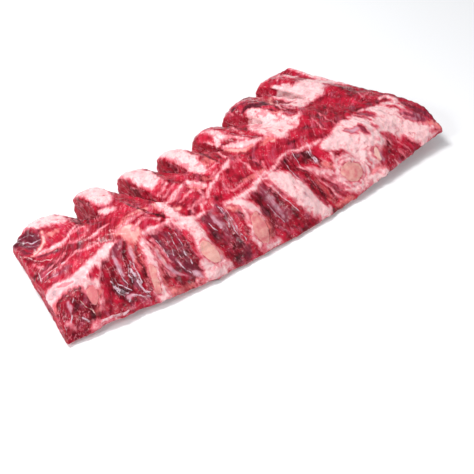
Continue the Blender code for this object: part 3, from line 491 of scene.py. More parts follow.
# The last two rib ends at the back.
BACK: tuple[Stroke, ...] = (
    fat((274, 91, 5), (284, 91, 7), (296, 91, 8), (308, 91, 8), (318, 92, 6), tone=-.05, lift=.7),
    fat((272, 97, 3), (284, 99, 4), (298, 100, 5), (312, 98, 5), tone=.1, lift=.5),
    fat((300, 80, 2.4), (308, 82, 2.4), (318, 82, 2.6), (328, 83, 2), tone=.45, lift=.4),
    meat((254, 94, 3), (261, 90, 4.6), (268, 84, 4.6), (274, 78, 3.6), tone=.4),
    meat((258, 97, 2.6), (265, 98, 3.4), (268, 102, 2.6), tone=.15),
    fat((279, 72, 1.6), (279, 76, 1.6), (278, 80, 1.3), tone=.3, lift=.3),
    meat((283, 69.5, 2), (289, 71.5, 2), (294, 73.5, 1.4), tone=-.1),
    fat((283, 74.5, 1.5), (290, 76, 1.6), (298, 76.5, 1.6), tone=.45, lift=.3),
    meat((300, 74, 1.3), (306, 76.5, 1.4)),
    meat((282, 79, 1.7), (283, 82, 2.3), (289, 82, 2), (296, 83, 1.2), tone=.5),
    fat((286, 94, 2.4), (292, 95, 3), tone=-.4),
    peach((271, 88, 1.5), (279, 86.5, 1.3), tone=.3),
    membrane((325, 84.5, 1), (334, 84, 1.5), (340, 85, 1), tone=.3),
    seam((312, 86.5, .6), (328, 86, .6), (342, 86, .6), tone=-.2),
    peach((270, 99, 1.5), (271, 103, 1.5), tone=.35),
    meat((263, 107, 2), (268, 108, 2.4), (273, 106, 2), tone=.35),
    # A dark line along the notch between the last two rib ends, darkened as painted shade in its crack.
    meat((276, 103, 1), (283, 105, 1.2), (291, 107, 1.1), (298, 109, 1.1), (304, 110, 1), tone=-.4),
    seam((276, 103, .5), (290, 107, .6), (304, 110, .5), tone=-.9),
    seam((277, 99, .5), (277, 103, .6), tone=-.9),
    meat((224, 118, 3), (226, 126, 4), (233, 124, 6), (236, 114, 6), (241, 107, 4), (248, 104, 2.4),
         (258, 102, 2), lift=.3),
    meat((243, 104, 1.4), (252, 102, 1.6), (260, 100.5, 1.4), tone=-.45),
    fat((228, 129, .5), (232, 127, .6), (237, 130, .5), tone=.7, lift=.1),
    fat((229, 111, .5), (233, 116, .5), (235, 122, .5), tone=.7, lift=.1),
    # A dark line along the notch between the fifth and sixth rib ends, darkened as painted shade.
    meat((222, 130, 1.2), (230, 132, 1.4), (238, 134, 1.2), tone=-.4),
    fat((250, 114, 4.4), (258, 112, 5), (256, 122, 6), (252, 130, 4), (268, 122, 8), (270, 131, 6),
        (284, 130, 6), (290, 122, 6), (280, 114, 4), (297, 118, 3), tone=.1, lift=.7),
    peach((262, 114, 1.4), (272, 113, 1.5), (281, 110.5, 1.2), tone=.4),
    fat((250, 121, 1.2), (257, 120, 1.2), tone=.5),
    fat((255, 131, 1), (262, 132, 1), tone=.5),
    fat((276, 121, 1), (283, 119, 1), tone=.5),
    fat((286, 122, 1.6), (293, 122, 1.8), tone=-.5),
    membrane((283, 111, 1.1), (289, 112.5, 1.9), (296, 113, 1.6), (301, 112, 1), tone=.3),
    meat((284, 113.5, 1.2), (292, 114.5, 1), tone=.15),
    # The same painted shade along that notch, fainter.
    meat((244, 133, 1.2), (252, 135.5, 1.2), (258, 137, .8), tone=-.2),
    seam((222, 131, .6), (235, 134, .7), (245, 134.5, .7), (258, 137, .5), tone=-.9),
    fat((224, 136, 2.2), (236, 137, 1.8), (248, 139, 2), tone=.3, lift=.3),
    meat((223, 141, 1.1), (231, 140.5, 1.2), (238, 139, .8), tone=.3),
    peach((266, 138, 2.6), (273, 141, 2.6), tone=.3),
)

# The open pocket, the broad fat, the lean right of the fourth bone and the cap of the sixth rib end.
RIGHT: tuple[Stroke, ...] = (
    # The pocket, lowered and with its dark inside painted as shade, and the curved seam over it.
    fat((262, 177, 2.4), (270, 171, 2.2), (276, 164, 2), (282, 156, 2), (289, 151, 1.8), (297, 150, 1.7),
        (305, 147, 1.6), (313, 144, 1.5), (321, 140, 1.6), tone=-.2, lift=.6),
    meat((284, 166, 4), (292, 162, 7), (302, 160, 7), (312, 163, 4), tone=-.35),
    hollow((285, 161, 1.6), (291, 157, 2.4), (298, 156, 2), tone=-.95, lift=-1.2),
    hollow((284, 168, 1.6), (291, 172, 1.8), (297, 176, 1.2), tone=-.95, lift=-1),
    hollow((303, 153, 2), (309, 157, 2.4), (314, 162, 2), tone=-.9, lift=-1),
    meat((294, 163, 1.6), (302, 165, 2.2), (310, 166, 2), (316, 166, 1.4), tone=.35),
    film_and_highlight((283, 161, .8), (288, 168, .9), (294, 175, .9), (299, 179, .7)),
    film_and_highlight((291, 153, .8), (297, 161, .8), (303, 168, .7)),
    film_and_highlight((302, 134, .8), (306, 142, .9), (311, 151, 1), (316, 159, 1), (320, 166, .9)),
    film_and_highlight((305, 147, .7), (311, 156, .8), (318, 165, .7)),
    fat((300, 167, 1.4), (308, 169, 2.4), (318, 171, 2.4), (328, 173, 2), (338, 176, 1.2), tone=-.3,
        lift=.5),
    meat((316, 152, 2), (321, 154, 4), (326, 158, 3.6), (323, 163, 2.4), tone=.55),
    peach((324, 163, 2.2), (329, 167, 2.4), (333, 165, 1.6), tone=-.5),
    fat((331, 154, 2), (334, 160, 2.4), (335, 167, 1.6), tone=.4, lift=.5),
    # Slab left of the broad fat.
    meat((256, 196, 5), (266, 203, 7), (277, 213, 8), (290, 222, 8), (300, 226, 4), tone=-.35),
    membrane((262, 188, 3), (266, 195, 5.4), (272, 203, 6), (280, 212, 6), (288, 219, 4), tone=.05),
    membrane((268, 196, 1.6), (275, 205, 1.8), (283, 215, 2.2), tone=.5),
    meat((252, 197, 1.6), (261, 206, 2), (270, 216, 2), (278, 227, 1.8), tone=-.75, lift=-.3),
    meat((276, 200, 1.4), (286, 208, 1.8), (296, 215, 1.8), (303, 221, 1.2), tone=-.7, lift=-.3),
    meat((270, 190, 1.2), (280, 198, 1.4), (290, 205, 1.2), tone=-.6),
    meat((264, 182, 1.3), (273, 189, 1.6), (283, 197, 1.6), (294, 205, 1.6), (305, 214, 2), tone=.1),
    fat((267, 183, .6), (276, 191, .6), (286, 199, .6), tone=.6, lift=.2),
    film_and_highlight((270, 186, .5), (280, 195, .6), (290, 204, .6), (300, 213, .6)),
    film_and_highlight((268, 205, .5), (276, 214, .6), (284, 222, .5)),
    meat((292, 222, 3), (302, 222, 4), (311, 218, 3.4), tone=-.15),
    meat((280, 229, 2.4), (290, 229, 2.4), (300, 226, 2), tone=-.5),
    # The broad fat band.
    fat((264, 179, 2), (272, 178, 4), (281, 182, 6.4), (290, 187, 8.4), (300, 194, 9.4), (310, 201, 9),
        (319, 207, 7.4), (326, 212, 5), (331, 209, 2.4), tone=.05, lift=.8),
    fat((285, 180, 1.2), (292, 185, 1.4), (298, 190, 1), tone=.7),
    fat((299, 203, 1.4), (306, 206, 1.6), (313, 208, 1.2), tone=.7),
    fat((303, 192, 1.6), (309, 197, 1.8), tone=-.5),
    # Slab between the broad fat band and the sixth sawn bone.
    meat((305, 176, 3), (315, 181, 5), (325, 189, 7), (334, 198, 7), (341, 204, 4), tone=-.35),
    meat((306, 175, 1.6), (314, 183, 1.8), (322, 192, 1.8), (329, 201, 1.4), tone=-.75, lift=-.3),
    meat((320, 175, 1.2), (330, 184, 1.6), (340, 194, 1.4), tone=-.6),
    peach((316, 180, 1), (325, 190, 1.3), (333, 200, 1.1), tone=-.85),
    fat((313, 172, .6), (323, 181, .7), (333, 190, .7), (343, 199, .6), tone=.6, lift=.2),
    fat((322, 172, .6), (333, 181, .6), (344, 189, .6), tone=.6, lift=.2),
    seam((332, 172, .8), (342, 180, 1), (352, 187, .9), tone=.3),
    membrane((332, 184, 1), (340, 191, 1.4), tone=.2),
    meat((328, 199, 2), (335, 205, 2.6), (340, 201, 2), tone=.35),
    meat((342, 193, 2.4), (347, 196, 3), (351, 192, 2)),
    peach((338, 206, 1.4), (346, 202, 1.6), (354, 196, 1.2), tone=-.4),
    # Round the sixth sawn bone.
    fat((336, 168, 2), (338, 161, 2.4), (345, 156, 2.4), (354, 156, 2.6), (362, 160, 2.6), (367, 168, 3),
        (369, 177, 3), (364, 186, 2.6), (355, 190, 2.4), (346, 188, 2), tone=.1, lift=.6),
    fat((336, 178, 1.4), (341, 185, 1.6), tone=.5, lift=.2),
    meat((366, 157, 1.3), (369, 163, 1), tone=-.1),
    # Mottled fat of the ridge.
    fat((327, 148, 3), (335, 140, 7), (343, 130, 9), (350, 124, 9), (360, 134, 12), (366, 146, 12),
        (350, 146, 9), (372, 158, 8), tone=.15, lift=.8),
    membrane((346, 131, 2), (352, 131, 3), (357, 129, 2.4), tone=.95),
    membrane((359, 127, 2.4), (363, 130, 3.4), (366, 133, 2), tone=-.2),
    fat((355, 123, 1.6), (364, 124, 1.4), tone=.4),
    peach((366, 148, 2.4), (372, 153, 3), tone=.4),
    meat((368, 158, 1), (370, 162, 1.2), tone=-.1),
    meat((356, 113, 2), (364, 113, 3.4), (372, 115, 4), tone=.15),
    fat((349, 117, 1.6), (357, 120, 1.4), (366, 122, 1.2), (376, 125, 1), tone=.2, lift=.4),
    # Band of lean to the right.
    meat((278, 147, 5), (288, 143, 7), (299, 135, 9), (312, 124, 11), (326, 113, 12), (338, 107, 10),
         tone=-.05),
    meat((318, 116, 5), (328, 110, 6), (338, 113, 5), tone=-.55),
    meat((306, 128, 3), (314, 126, 4), (322, 126, 3), tone=-.45),
    meat((320, 104, 4), (328, 100, 4), (340, 101, 4), tone=.25),
    meat((283, 145, 1.6), (292, 142, 2), (300, 137, 1.6), tone=-.5),
    fat((318, 113, .6), (327, 118, .7), (337, 126, .7), tone=.7, lift=.2),
    fat((312, 118, .6), (318, 124, .6), (326, 130, .5), tone=.7, lift=.2),
    # Cap of the sixth rib end.
    fat((250, 116, 4), (258, 115, 7), (268, 120, 10), (278, 126, 11), (286, 127, 9), (294, 121, 6),
        (300, 114, 3), tone=.55, lift=.6),
    fat((256, 128, 6), (268, 132, 7), (280, 134, 5), tone=.55, lift=.5),
    peach((258, 122, 3), (266, 127, 4), (275, 131, 3), tone=.6),
    peach((285, 120, 3), (292, 117, 2), tone=.5),
    meat((264, 106, 2.4), (270, 106, 2.6), (276, 109, 1.6), tone=.2),
    # A dark wedge at the notch by this cap, lowered and darkened as painted shade.
    meat((282, 106, 1.4), (290, 110, 2), (297, 113, 1.8), tone=-.5, lift=-.4),
    peach((262, 143, 2.4), (268, 140, 3.4), (274, 138, 2), tone=-.4),
    meat((262, 147, 2), (270, 146, 3), tone=.3),
)

# The thin right end.
TIP: tuple[Stroke, ...] = (
    # Band of lean at its far end and the edge behind it.
    meat((340, 100, 5), (350, 98, 5), (360, 97, 6), (370, 98, 4), (376, 96, 2), tone=.15),
    meat((354, 101, 2.4), (362, 102, 2.6), (370, 101, 1.8), tone=.45),
    fat((358, 93, .8), (363, 97, .8), (368, 92, .7), tone=.7),
    meat((373, 92, 1.2), (379, 92, 1.4), (385, 92, 1.2), tone=.1),
    fat((380, 98, 2), (385, 96, 3), (391, 98, 4.4), (396, 102, 4), (388, 104, 4.6), (380, 107, 3.4),
        tone=.35, lift=.6),
    meat((394, 97, 1.4), (399, 98, 1.6), tone=.4),
    meat((388, 107, 1), (395, 107, 1.8), (401, 110, 1.4), tone=.2),
    fat((398, 102, 1.6), (404, 106, 1.6), tone=.5),
    # The dark lean at the thin end's back edge.
    membrane((404, 103, 3.4), (412, 105, 4), (420, 109, 5), (428, 113, 5), (434, 118, 4), tone=-.45),
    membrane((401, 113, 3), (408, 113, 4), (416, 115, 4.6), (423, 119, 3.6), tone=.1),
    membrane((404, 117, 2), (412, 118, 2), (419, 120, 1.6), tone=.5),
    meat((408, 103, 1.6), (416, 106, 1.8), (424, 110, 1.4), tone=-.3),
    meat((428, 113, 2), (433, 117, 3), (437, 121, 2.4), tone=-.35),
    fat((402, 120, 1.2), (410, 122, 1.3), (418, 125, 1.2), tone=.5, lift=.3),
    fat((397, 112, .8), (405, 111, .8), (412, 113, .6), tone=.6, lift=.2),
    peach((427, 124, 1.8), (433, 124, 2.6), (438, 127, 2.6), (441, 130, 1.6), tone=-.1),
    peach((430, 134, 3), (435, 136, 3.4), (431, 141, 2.6), tone=.2),
    seam((430, 131, .5), (436, 130.5, .7), (442, 130, .6), tone=-.9),
    meat((431, 131, .6), (437, 130, .8), (442, 130, .6), tone=-.3),
    # Mottled fat towards the tip.
    fat((378, 113, 5), (388, 116, 7), (397, 120, 7), (406, 125, 7), (415, 130, 7.4), (423, 136, 7),
        (424, 143, 5), tone=.1, lift=.7),
    fat((372, 128, 5), (384, 127, 5), (396, 130, 5), tone=.1, lift=.6),
    fat((384, 111, 1.4), (392, 114, 1.6), (400, 118, 1.2), tone=.6),
    fat((405, 130, 1.2), (414, 133, 1.4), (422, 139, 1.2), tone=.6),
    fat((408, 134, .9), (412, 136, 1), tone=-.7),
    membrane((360, 114, 2), (366, 115, 2.8), (372, 117, 2.2), tone=.2),
    meat((355, 115, 1.2), (362, 117, 1.6), (370, 120, 1.2), tone=.1),
    meat((372, 125, 1), (376, 127, 1.4), tone=.1),
    seam((352, 121, .8), (360, 123, .9), (368, 124, .8), tone=.1),
    # The lean under it and the buried seventh bone.
    meat((382, 134, 1.6), (390, 138, 3), (397, 144, 6), (403, 151, 8), (400, 160, 7), (393, 165, 5),
         tone=-.1),
    meat((388, 142, 2.4), (391, 149, 4), (392, 157, 4), (389, 163, 2.4), tone=-.6, lift=-.2),
    meat((384, 134, 1.2), (393, 137, 1.8), (402, 141, 1.6), (410, 146, 1.8), tone=.2),
    fat((398, 141, .7), (406, 147, .8), (413, 155, .7), tone=.6, lift=.2),
    fat((400, 151, .6), (406, 158, .7), (410, 163, .5), tone=.7, lift=.2),
    fat((395, 160, .7), (399, 165, .7), tone=.7, lift=.2),
    meat((404, 146, 1.6), (410, 152, 1.8), (415, 157, 1.6), tone=-.55),
    fat((396, 163, .8), (402, 164, .8), (408, 160, .6), tone=.5, lift=.3),
    fat((374, 137, 3), (380, 142, 3), (378, 148, 3), tone=.35, lift=.3),
    peach((371, 143, 1.8), (376, 146, 2), (382, 146, 1.6)),
    marrow((377, 152, 2.6), (379, 156, 2.4), tone=-.7),
    membrane((374, 150, 2.2), (379, 153, 3), (382, 158, 2.4), tone=.55),
    fat((372, 149, .8), (377, 148, .8), tone=.5, lift=.2),
    peach((368, 156, 1.6), (372, 161, 2), (377, 165, 1.8), tone=-.5),
    fat((372, 156, .8), (377, 161, .8), (381, 165, .7), tone=.7),
    fat((350, 190, 2.4), (359, 187, 2.8), (368, 182, 3.6), (377, 177, 4.2), (386, 171, 3.4), tone=.4,
        lift=.5),
    peach((366, 176, 1.8), (374, 172, 2), (382, 168, 1.4), tone=.5),
    meat((391, 168, 1.6), (396, 170, 1.4), tone=-.1),
)

# The sawn bones that show in the front slope, in plan centimetres again.
OVALS: tuple[Stroke, ...] = (
    marrow((-18.9, -6.95, .46), (-18.95, -7.25, .42), (-19.05, -7.55, .2), tone=-.85),
    marrow((-13.35, -7.4, .2), (-13.38, -7.85, .32), (-13.48, -8.4, .34), (-13.58, -8.9, .26), tone=-.4),
    marrow((-8.0, -7.95, .3), (-7.8, -8.4, .55), (-7.5, -8.85, .5), (-7.2, -9.1, .25), tone=.1),
    marrow((-2.05, -7.9, .35), (-2.08, -8.4, .65), (-2.06, -8.9, .7), (-1.9, -9.3, .4), tone=-.55),
    fat((8.8, -7.6, .75), (9.6, -7.7, 1.1), (10.4, -7.75, 1.15), (11.1, -7.7, .8), tone=.1, lift=.4),
    marrow((9.1, -7.6, .4), (9.8, -7.8, .68), (10.5, -7.85, .6), (10.8, -7.8, .45), tone=-.3),
    meat((10.95, -7.55, .06), (11.1, -7.8, .1), tone=.4),
)


def smooth(low: float, high: float, value: np.ndarray) -> np.ndarray:
    """Smooth step from 0 at low to 1 at high, also where low is the larger."""
    t = np.clip((value - low) / (high - low), 0.0, 1.0)
    return t * t * (3.0 - 2.0 * t)


def waves(points: np.ndarray, size: float, shift: float = 0.0) -> np.ndarray:
    """Smooth noise vectors at points, with features of about the given size.

    Args:
        points: places, one row each, in the same unit as size.
        size: rough distance between a high and the next low.
        shift: offset that gives another pattern.

    Returns:
        One row of three values of about -0.5 to 0.5 for each point.
    """
    rows = [noise.noise_vector(Vector(p)) for p in (points / size + shift).tolist()]
    return np.array(rows)


@dataclass(frozen=True)
class FibreAnchor:
    """A place in plan where the direction of the muscle fibres is known, in centimetres and degrees."""

    x: float
    y: float
    angle: float


FIBRES: tuple[FibreAnchor, ...] = tuple(FibreAnchor(*row) for row in (
    (-21, 3, 128), (-18.5, 1.5, 120), (-20, -2, 15), (-12, -2, 30), (-11, -3, 5), (-7, -1, 15),
    (-7, -3.4, 15), (-1.5, -3.5, 87), (1, -3, 70), (4, -2.5, 38), (8, -2.5, 60), (11, -1.5, 52),
    (14, -.5, 45), (17, 0, 35), (-21, -7.5, 35), (-16, -7.5, 122), (-15, -6.5, 110), (-13.3, -7, 95),
    (-11.5, -7, 105), (-10, -7, 98), (-9.5, -8.5, 120), (-8, -7, 90), (-5.5, -7.5, 120), (-4.3, -7, 100),
    (-3, -9, 125), (-2, -8, 100), (.5, -7.5, 115), (2, -8.5, 125), (3.5, -7.5, 125), (5, -5.5, 118),
    (6, -7.5, 110), (8, -8, 135), (8, -5.5, 110), (13, -5, 150), (16.5, -7.3, 125), (20.5, -5, 50),
    (17, 4, 20), (-13, 3, 70)))


@dataclass
class FibreField:
    """Two maps over the plan, in centimetres, whose values run along and across the muscle fibres.

    The directions at the anchors are blended over a grid, and the two maps are the ones whose slopes
    come closest to them.
    """

    half_x: float = 24.0
    half_y: float = 12.0
    step: float = 0.25
    blur: float = 0.4
    along: np.ndarray = field(init=False)
    across: np.ndarray = field(init=False)

    def __post_init__(self) -> None:
        """Solve both maps once."""
        xs = np.arange(-self.half_x, self.half_x, self.step)
        ys = np.arange(-self.half_y, self.half_y, self.step)
        x, y = np.meshgrid(xs, ys)
        total = np.zeros_like(x)
        angle = np.zeros_like(x)
        for a in FIBRES:
            weight = 1.0 / ((x - a.x) ** 2 + (y - a.y) ** 2 + self.blur) ** 2
            total += weight
            angle += weight * math.radians(a.angle)
        angle /= total
        self.along = self._potential(np.cos(angle), np.sin(angle))
        self.across = self._potential(-np.sin(angle), np.cos(angle))

    def _potential(self, gx: np.ndarray, gy: np.ndarray) -> np.ndarray:
        """Map whose slopes come closest to (gx, gy).

        Args:
            gx: wanted slope along x on the grid.
            gy: wanted slope along y on the grid.

        Returns:
            The map on the same grid, in centimetres.
        """
        rows, columns = gx.shape
        gx = np.block([[gx, -gx[:, ::-1]], [gx[::-1], -gx[::-1, ::-1]]])
        gy = np.block([[gy, gy[:, ::-1]], [-gy[::-1], -gy[::-1, ::-1]]])
        kx = 2.0 * math.pi * np.fft.fftfreq(2 * columns, self.step)[None, :]
        ky = 2.0 * math.pi * np.fft.fftfreq(2 * rows, self.step)[:, None]
        power = kx ** 2 + ky ** 2
        power[0, 0] = 1.0
        spectrum = -1j * (kx * np.fft.fft2(gx) + ky * np.fft.fft2(gy)) / power
        return np.real(np.fft.ifft2(spectrum))[:rows, :columns]

    def at(self, x: np.ndarray, y: np.ndarray) -> tuple[np.ndarray, np.ndarray]:
        """Both maps at places of the plan.

        Args:
            x: places along the rack, in centimetres.
            y: places across it, in centimetres.

        Returns:
            The values along and across the fibres.
        """
        # The last cell ends just short of the grid's edge, so that each place has a next grid line.
        u = np.clip((x + self.half_x) / self.step, 0, self.along.shape[1] - 1.001)
        v = np.clip((y + self.half_y) / self.step, 0, self.along.shape[0] - 1.001)
        i, j = u.astype(int), v.astype(int)
        fu, fv = u - i, v - j
        found = []
        for grid in (self.along, self.across):
            low = grid[j, i] * (1 - fu) + grid[j, i + 1] * fu
            high = grid[j + 1, i] * (1 - fu) + grid[j + 1, i + 1] * fu
            found.append(low * (1 - fv) + high * fv)
        return found[0], found[1]


@dataclass
class Canvas:
    """Tissues painted over the vertices of one mesh, as distances inside each tissue's edge.

    Lengths are centimetres of the plan, and lifts are millimetres. Thin lines, of films and of painted
    highlights, are finer than the mesh. They are kept as the signed offset from the line, which runs
    evenly through zero between two vertices, and the line's half width.
    """

    x: np.ndarray
    y: np.ndarray
    far: float = 1.0
    margin: float = 0.5
    tone_edge: Pair = (-0.08, 0.1)
    lift_edge: Pair = (-0.1, 0.45)
    line_reach: float = 0.3
    line_core: float = 0.11
    line_fade: float = 2.0
    line_width: float = 0.62
    line_lift: float = 0.5
    line_edge: Pair = (0.12, 0.03)
    wall: np.ndarray = field(init=False)
    offset: np.ndarray = field(init=False)
    line_tone: np.ndarray = field(init=False)
    fields: dict[Tissue, np.ndarray] = field(init=False)
    tone: np.ndarray = field(init=False)
    lift: np.ndarray = field(init=False)

    def __post_init__(self) -> None:
        """Start with bare muscle everywhere."""
        blank = np.full(len(self.x), -self.far)
        self.fields = {tissue: blank.copy() for tissue in Tissue if tissue is not Tissue.MUSCLE}
        self.offset = np.full(len(self.x), self.far)
        self.tone, self.lift, self.line_tone, self.wall = (np.zeros(len(self.x)) for _ in range(4))

    def _near(self, path: np.ndarray, reach: float) -> np.ndarray:
        """Numbers of the vertices in a path's box, which is widened by reach."""
        x, y = path[:, 0], path[:, 1]
        return np.flatnonzero((self.x > x.min() - reach) & (self.x < x.max() + reach)
                              & (self.y > y.min() - reach) & (self.y < y.max() + reach))

    def paint(self, stroke: Stroke) -> None:
        """Lay one stroke over what is there.

        Args:
            stroke: the stroke to lay.
        """
        path = self._spline(np.array(stroke.spots, dtype=float))
        if stroke.tissue is Tissue.FILM_AND_HIGHLIGHT:
            self._draw(stroke, path)
            return
        near = self._near(path, path[:, 2].max() + self.margin)
        x, y = self.x[near], self.y[near]
        inside = np.full(len(near), -self.far)
        for a, b in zip(path[:-1], path[1:]):
            run = b[:2] - a[:2]
            t = ((x - a[0]) * run[0] + (y - a[1]) * run[1]) / max(run @ run, TINY)
            t = np.clip(t, 0.0, 1.0)
            gap = np.hypot(x - a[0] - t * run[0], y - a[1] - t * run[1])
            inside = np.maximum(inside, a[2] + t * (b[2] - a[2]) - gap)
        self.lay(stroke, near, inside)

    def _draw(self, stroke: Stroke, path: np.ndarray) -> None:
        """Draw one thin line.

        Args:
            stroke: tells the tone and the lift.
            path: rows of x, y and half width along the line.
        """
        near = self._near(path, self.line_reach)
        x, y = self.x[near], self.y[near]
        best = np.full(len(near), self.far)
        side = np.ones(len(near))
        half = np.full(len(near), -self.far)
        for a, b in zip(path[:-1], path[1:]):
            run = b[:2] - a[:2]
            length = max(math.hypot(*run), TINY)
            free = ((x - a[0]) * run[0] + (y - a[1]) * run[1]) / length ** 2
            t = np.clip(free, 0.0, 1.0)
            gap = np.hypot(x - a[0] - t * run[0], y - a[1] - t * run[1])
            closer = gap < best
            best = np.where(closer, gap, best)
            side = np.where(closer, np.sign(run[0] * (y - a[1]) - run[1] * (x - a[0])), side)
            past = np.abs(free - t) * length
            half = np.where(closer, (a[2] + t * (b[2] - a[2])) * self.line_width - past, half)
        half -= self.line_fade * np.maximum(best - self.line_core, 0.0)
        wins = (best < np.abs(self.offset[near])) & (best < self.line_reach)
        near, best, side, half = near[wins], best[wins], side[wins], half[wins]
        self.offset[near] = best * np.where(side == 0, 1.0, side)
        self.fields[Tissue.FILM_AND_HIGHLIGHT][near] = half
        self.line_tone[near] = stroke.tone
        self.lift[near] += stroke.lift * self.line_lift * smooth(*self.line_edge, best)

    def lay(self, stroke: Stroke, near: np.ndarray, inside: np.ndarray) -> None:
        """Cover other tissues with one, and set its tone and height.

        Args:
            stroke: tells the tissue, the tone and the lift.
            near: the vertices that it may touch.
            inside: how far each of them lies inside the stroke's edge.
        """
        for other in COVERS[stroke.tissue]:
            self.fields[other][near] = np.minimum(self.fields[other][near], -inside)
        if stroke.tissue is not Tissue.MUSCLE:
            own = self.fields[stroke.tissue]
            own[near] = np.maximum(own[near], inside)
        self.offset[near] = np.where(inside > 0, self.far, self.offset[near])
        self.tone[near] += (stroke.tone - self.tone[near]) * smooth(*self.tone_edge, inside)
        self.lift[near] += (stroke.lift - self.lift[near]) * smooth(*self.lift_edge, inside)

    def cover(self, tissue: Tissue, tone: float, where: np.ndarray, inside: np.ndarray) -> None:
        """Lay a tissue over a part of the mesh.

        Args:
            tissue: the tissue.
            tone: its tone.
            where: true for each vertex that may take it.
            inside: how far each vertex lies inside its edge.
        """
        self.lay(Stroke(tissue, (), tone), np.arange(len(self.x)), np.where(where, inside, -self.far))

    @staticmethod
    def _spline(spots: np.ndarray, cuts: int = 4) -> np.ndarray:
        """Smooth path through the spots.

        Args:
            spots: rows of x, y and half width.
            cuts: pieces between one spot and the next.

        Returns:
            Rows of x, y and half width along the path.
        """
        ends = np.vstack([2 * spots[0] - spots[1], spots, 2 * spots[-1] - spots[-2]])
        ends[0, 2], ends[-1, 2] = spots[0, 2], spots[-1, 2]
        rows = []
        for k in range(len(spots) - 1):
            p0, p1, p2, p3 = ends[k:k + 4]
            for t in np.linspace(0, 1, cuts, endpoint=False):
                rows.append(0.5 * (2 * p1 + (p2 - p0) * t + (2 * p0 - 5 * p1 + 4 * p2 - p3) * t * t
                                   + (3 * p1 - p0 - 3 * p2 + p3) * t ** 3))
        rows.append(spots[-1])
        return np.array(rows)


def colour(red: int, green: int, blue: int) -> Rgba:
    """Linear colour of a display colour.

    Args:
        red, green, blue: display values of 0 to 255.

    Returns:
        The linear colour with full alpha.
    """
    shares = (value / 255.0 for value in (red, green, blue))
    linear = [share / 12.92 if share <= 0.04045 else ((share + 0.055) / 1.055) ** 2.4 for share in shares]
    return linear[0], linear[1], linear[2], 1.0


class Graph:
    """Adds and links the nodes of one shader tree, and lays them out in rows."""

    ROW = 12
    PITCH = (180, -220)

    def __init__(self, tree: bpy.types.NodeTree) -> None:
        """Keep the tree and start a row of nodes."""
        self.tree = tree
        self.count = 0

    def add(self, kind: str, **settings: object) -> bpy.types.Node:
        """Add one node.

        Args:
            kind: the node's type name without its ShaderNode prefix.
            settings: properties to set on it.

        Returns:
            The new node.
        """
        node = self.tree.nodes.new("ShaderNode" + kind)
        node.location = (self.PITCH[0] * (self.count % self.ROW), self.PITCH[1] * (self.count // self.ROW))
        self.count += 1
        for name, value in settings.items():
            setattr(node, name, value)
        return node

    def feed(self, socket: Socket, value: object) -> None:
        """Give a socket a link or a plain value.

        Args:
            socket: the input.
            value: an output to link, or a value to set.
        """
        if isinstance(value, Socket):
            self.tree.links.new(value, socket)
        else:
            socket.default_value = value

    def place(self, group: bpy.types.NodeTree, **given: object) -> bpy.types.Node:
        """Place a node group and feed it.

        Args:
            group: the group's tree.
            given: links or numbers by input name.

        Returns:
            The group's node.
        """
        node = self.add("Group", node_tree=group)
        for label, value in given.items():
            self.feed(node.inputs[label], value)
        return node

    def math(self, how: str, a: object, b: object = 0.0, c: object = 0.0) -> Socket:
        """Result of a Math node.

        Args:
            how: its operation.
            a, b, c: links or numbers, of which most operations read one or two.

        Returns:
            The node's output.
        """
        node = self.add("Math", operation=how)
        for socket, given in zip(node.inputs, (a, b, c)):
            self.feed(socket, given)
        return node.outputs[0]

    def total(self, *terms: tuple[object, object], start: float | None = None) -> Socket:
        """Sum of products.

        Args:
            terms: pairs of links or numbers that are multiplied.
            start: a number to start the sum from, if any.

        Returns:
            The sum's output.
        """
        result = start
        for value, weight in terms:
            part = self.math("MULTIPLY", value, weight)
            result = part if result is None else self.math("ADD", result, part)
        return result

    def swing(self, value: Socket, weight: float) -> Socket:
        """A noise of 0 to 1 as a swing about zero, times its weight."""
        return self.math("MULTIPLY", self.math("SUBTRACT", value, 0.5), weight)

    def crease(self, value: Socket) -> Socket:
        """Distance of a noise from its middle, which is 0 along winding lines."""
        return self.math("ABSOLUTE", self.math("SUBTRACT", value, 0.5))

    def span(self, value: object, low: object, high: object, start: float = 0.0, end: float = 1.0) -> Socket:
        """Value mapped smoothly from one range to another.

        Args:
            value: the value to map.
            low, high: where the result starts and ends to change, high or low first.
            start, end: the results there.

        Returns:
            The mapped value.
        """
        node = self.add("MapRange", interpolation_type="SMOOTHSTEP")
        for socket, given in zip(node.inputs, (value, low, high, start, end)):
            self.feed(socket, given)
        return node.outputs[0]

    def mix(self, factor: object, a: object, b: object) -> Socket:
        """One colour blended towards another.

        Args:
            factor: 0 for the first colour, 1 for the second.
            a, b: the colours.

        Returns:
            The blended colour.
        """
        node = self.add("Mix", data_type="RGBA")
        for number, value in ((0, factor), (6, a), (7, b)):
            self.feed(node.inputs[number], value)
        return node.outputs[2]

    def ramp(self, value: object, stops: Stops) -> Socket:
        """Colour of a value on a ramp.

        Args:
            value: place on the ramp, from 0 to 1.
            stops: pairs of a place and its colour.

        Returns:
            The colour.
        """
        node = self.add("ValToRGB")
        self.feed(node.inputs[0], value)
        elements = node.color_ramp.elements
        while len(elements) < len(stops):
            elements.new(0.5)
        for element, (place, shade) in zip(elements, stops):
            element.position = place
            element.color = shade
        return node.outputs[0]

    def noise(self, vector: object, scale: float, detail: float = 2.0, rough: float = 0.5,
              stretch: Triple | None = None) -> Socket:
        """Noise of 0 to 1.

        Args:
            vector: where it is read.
            scale: features for each unit of the vector, which is a metre on Object coordinates.
            detail: how many finer octaves it has.
            rough: how strong they are.
            stretch: scale of the vector's axes before it is read.

        Returns:
            The noise.
        """
        if stretch:
            mapping = self.add("Mapping")
            self.feed(mapping.inputs["Scale"], stretch)
            self.feed(mapping.inputs["Vector"], vector)
            vector = mapping.outputs[0]
        node = self.add("TexNoise")
        for label, value in (("Scale", scale), ("Detail", detail), ("Roughness", rough), ("Vector", vector)):
            self.feed(node.inputs[label], value)
        return node.outputs[0]

    def attribute(self, name: str, output: str = "Fac") -> Socket:
        """Value of a painted attribute."""
        return self.add("Attribute", attribute_name=name).outputs[output]


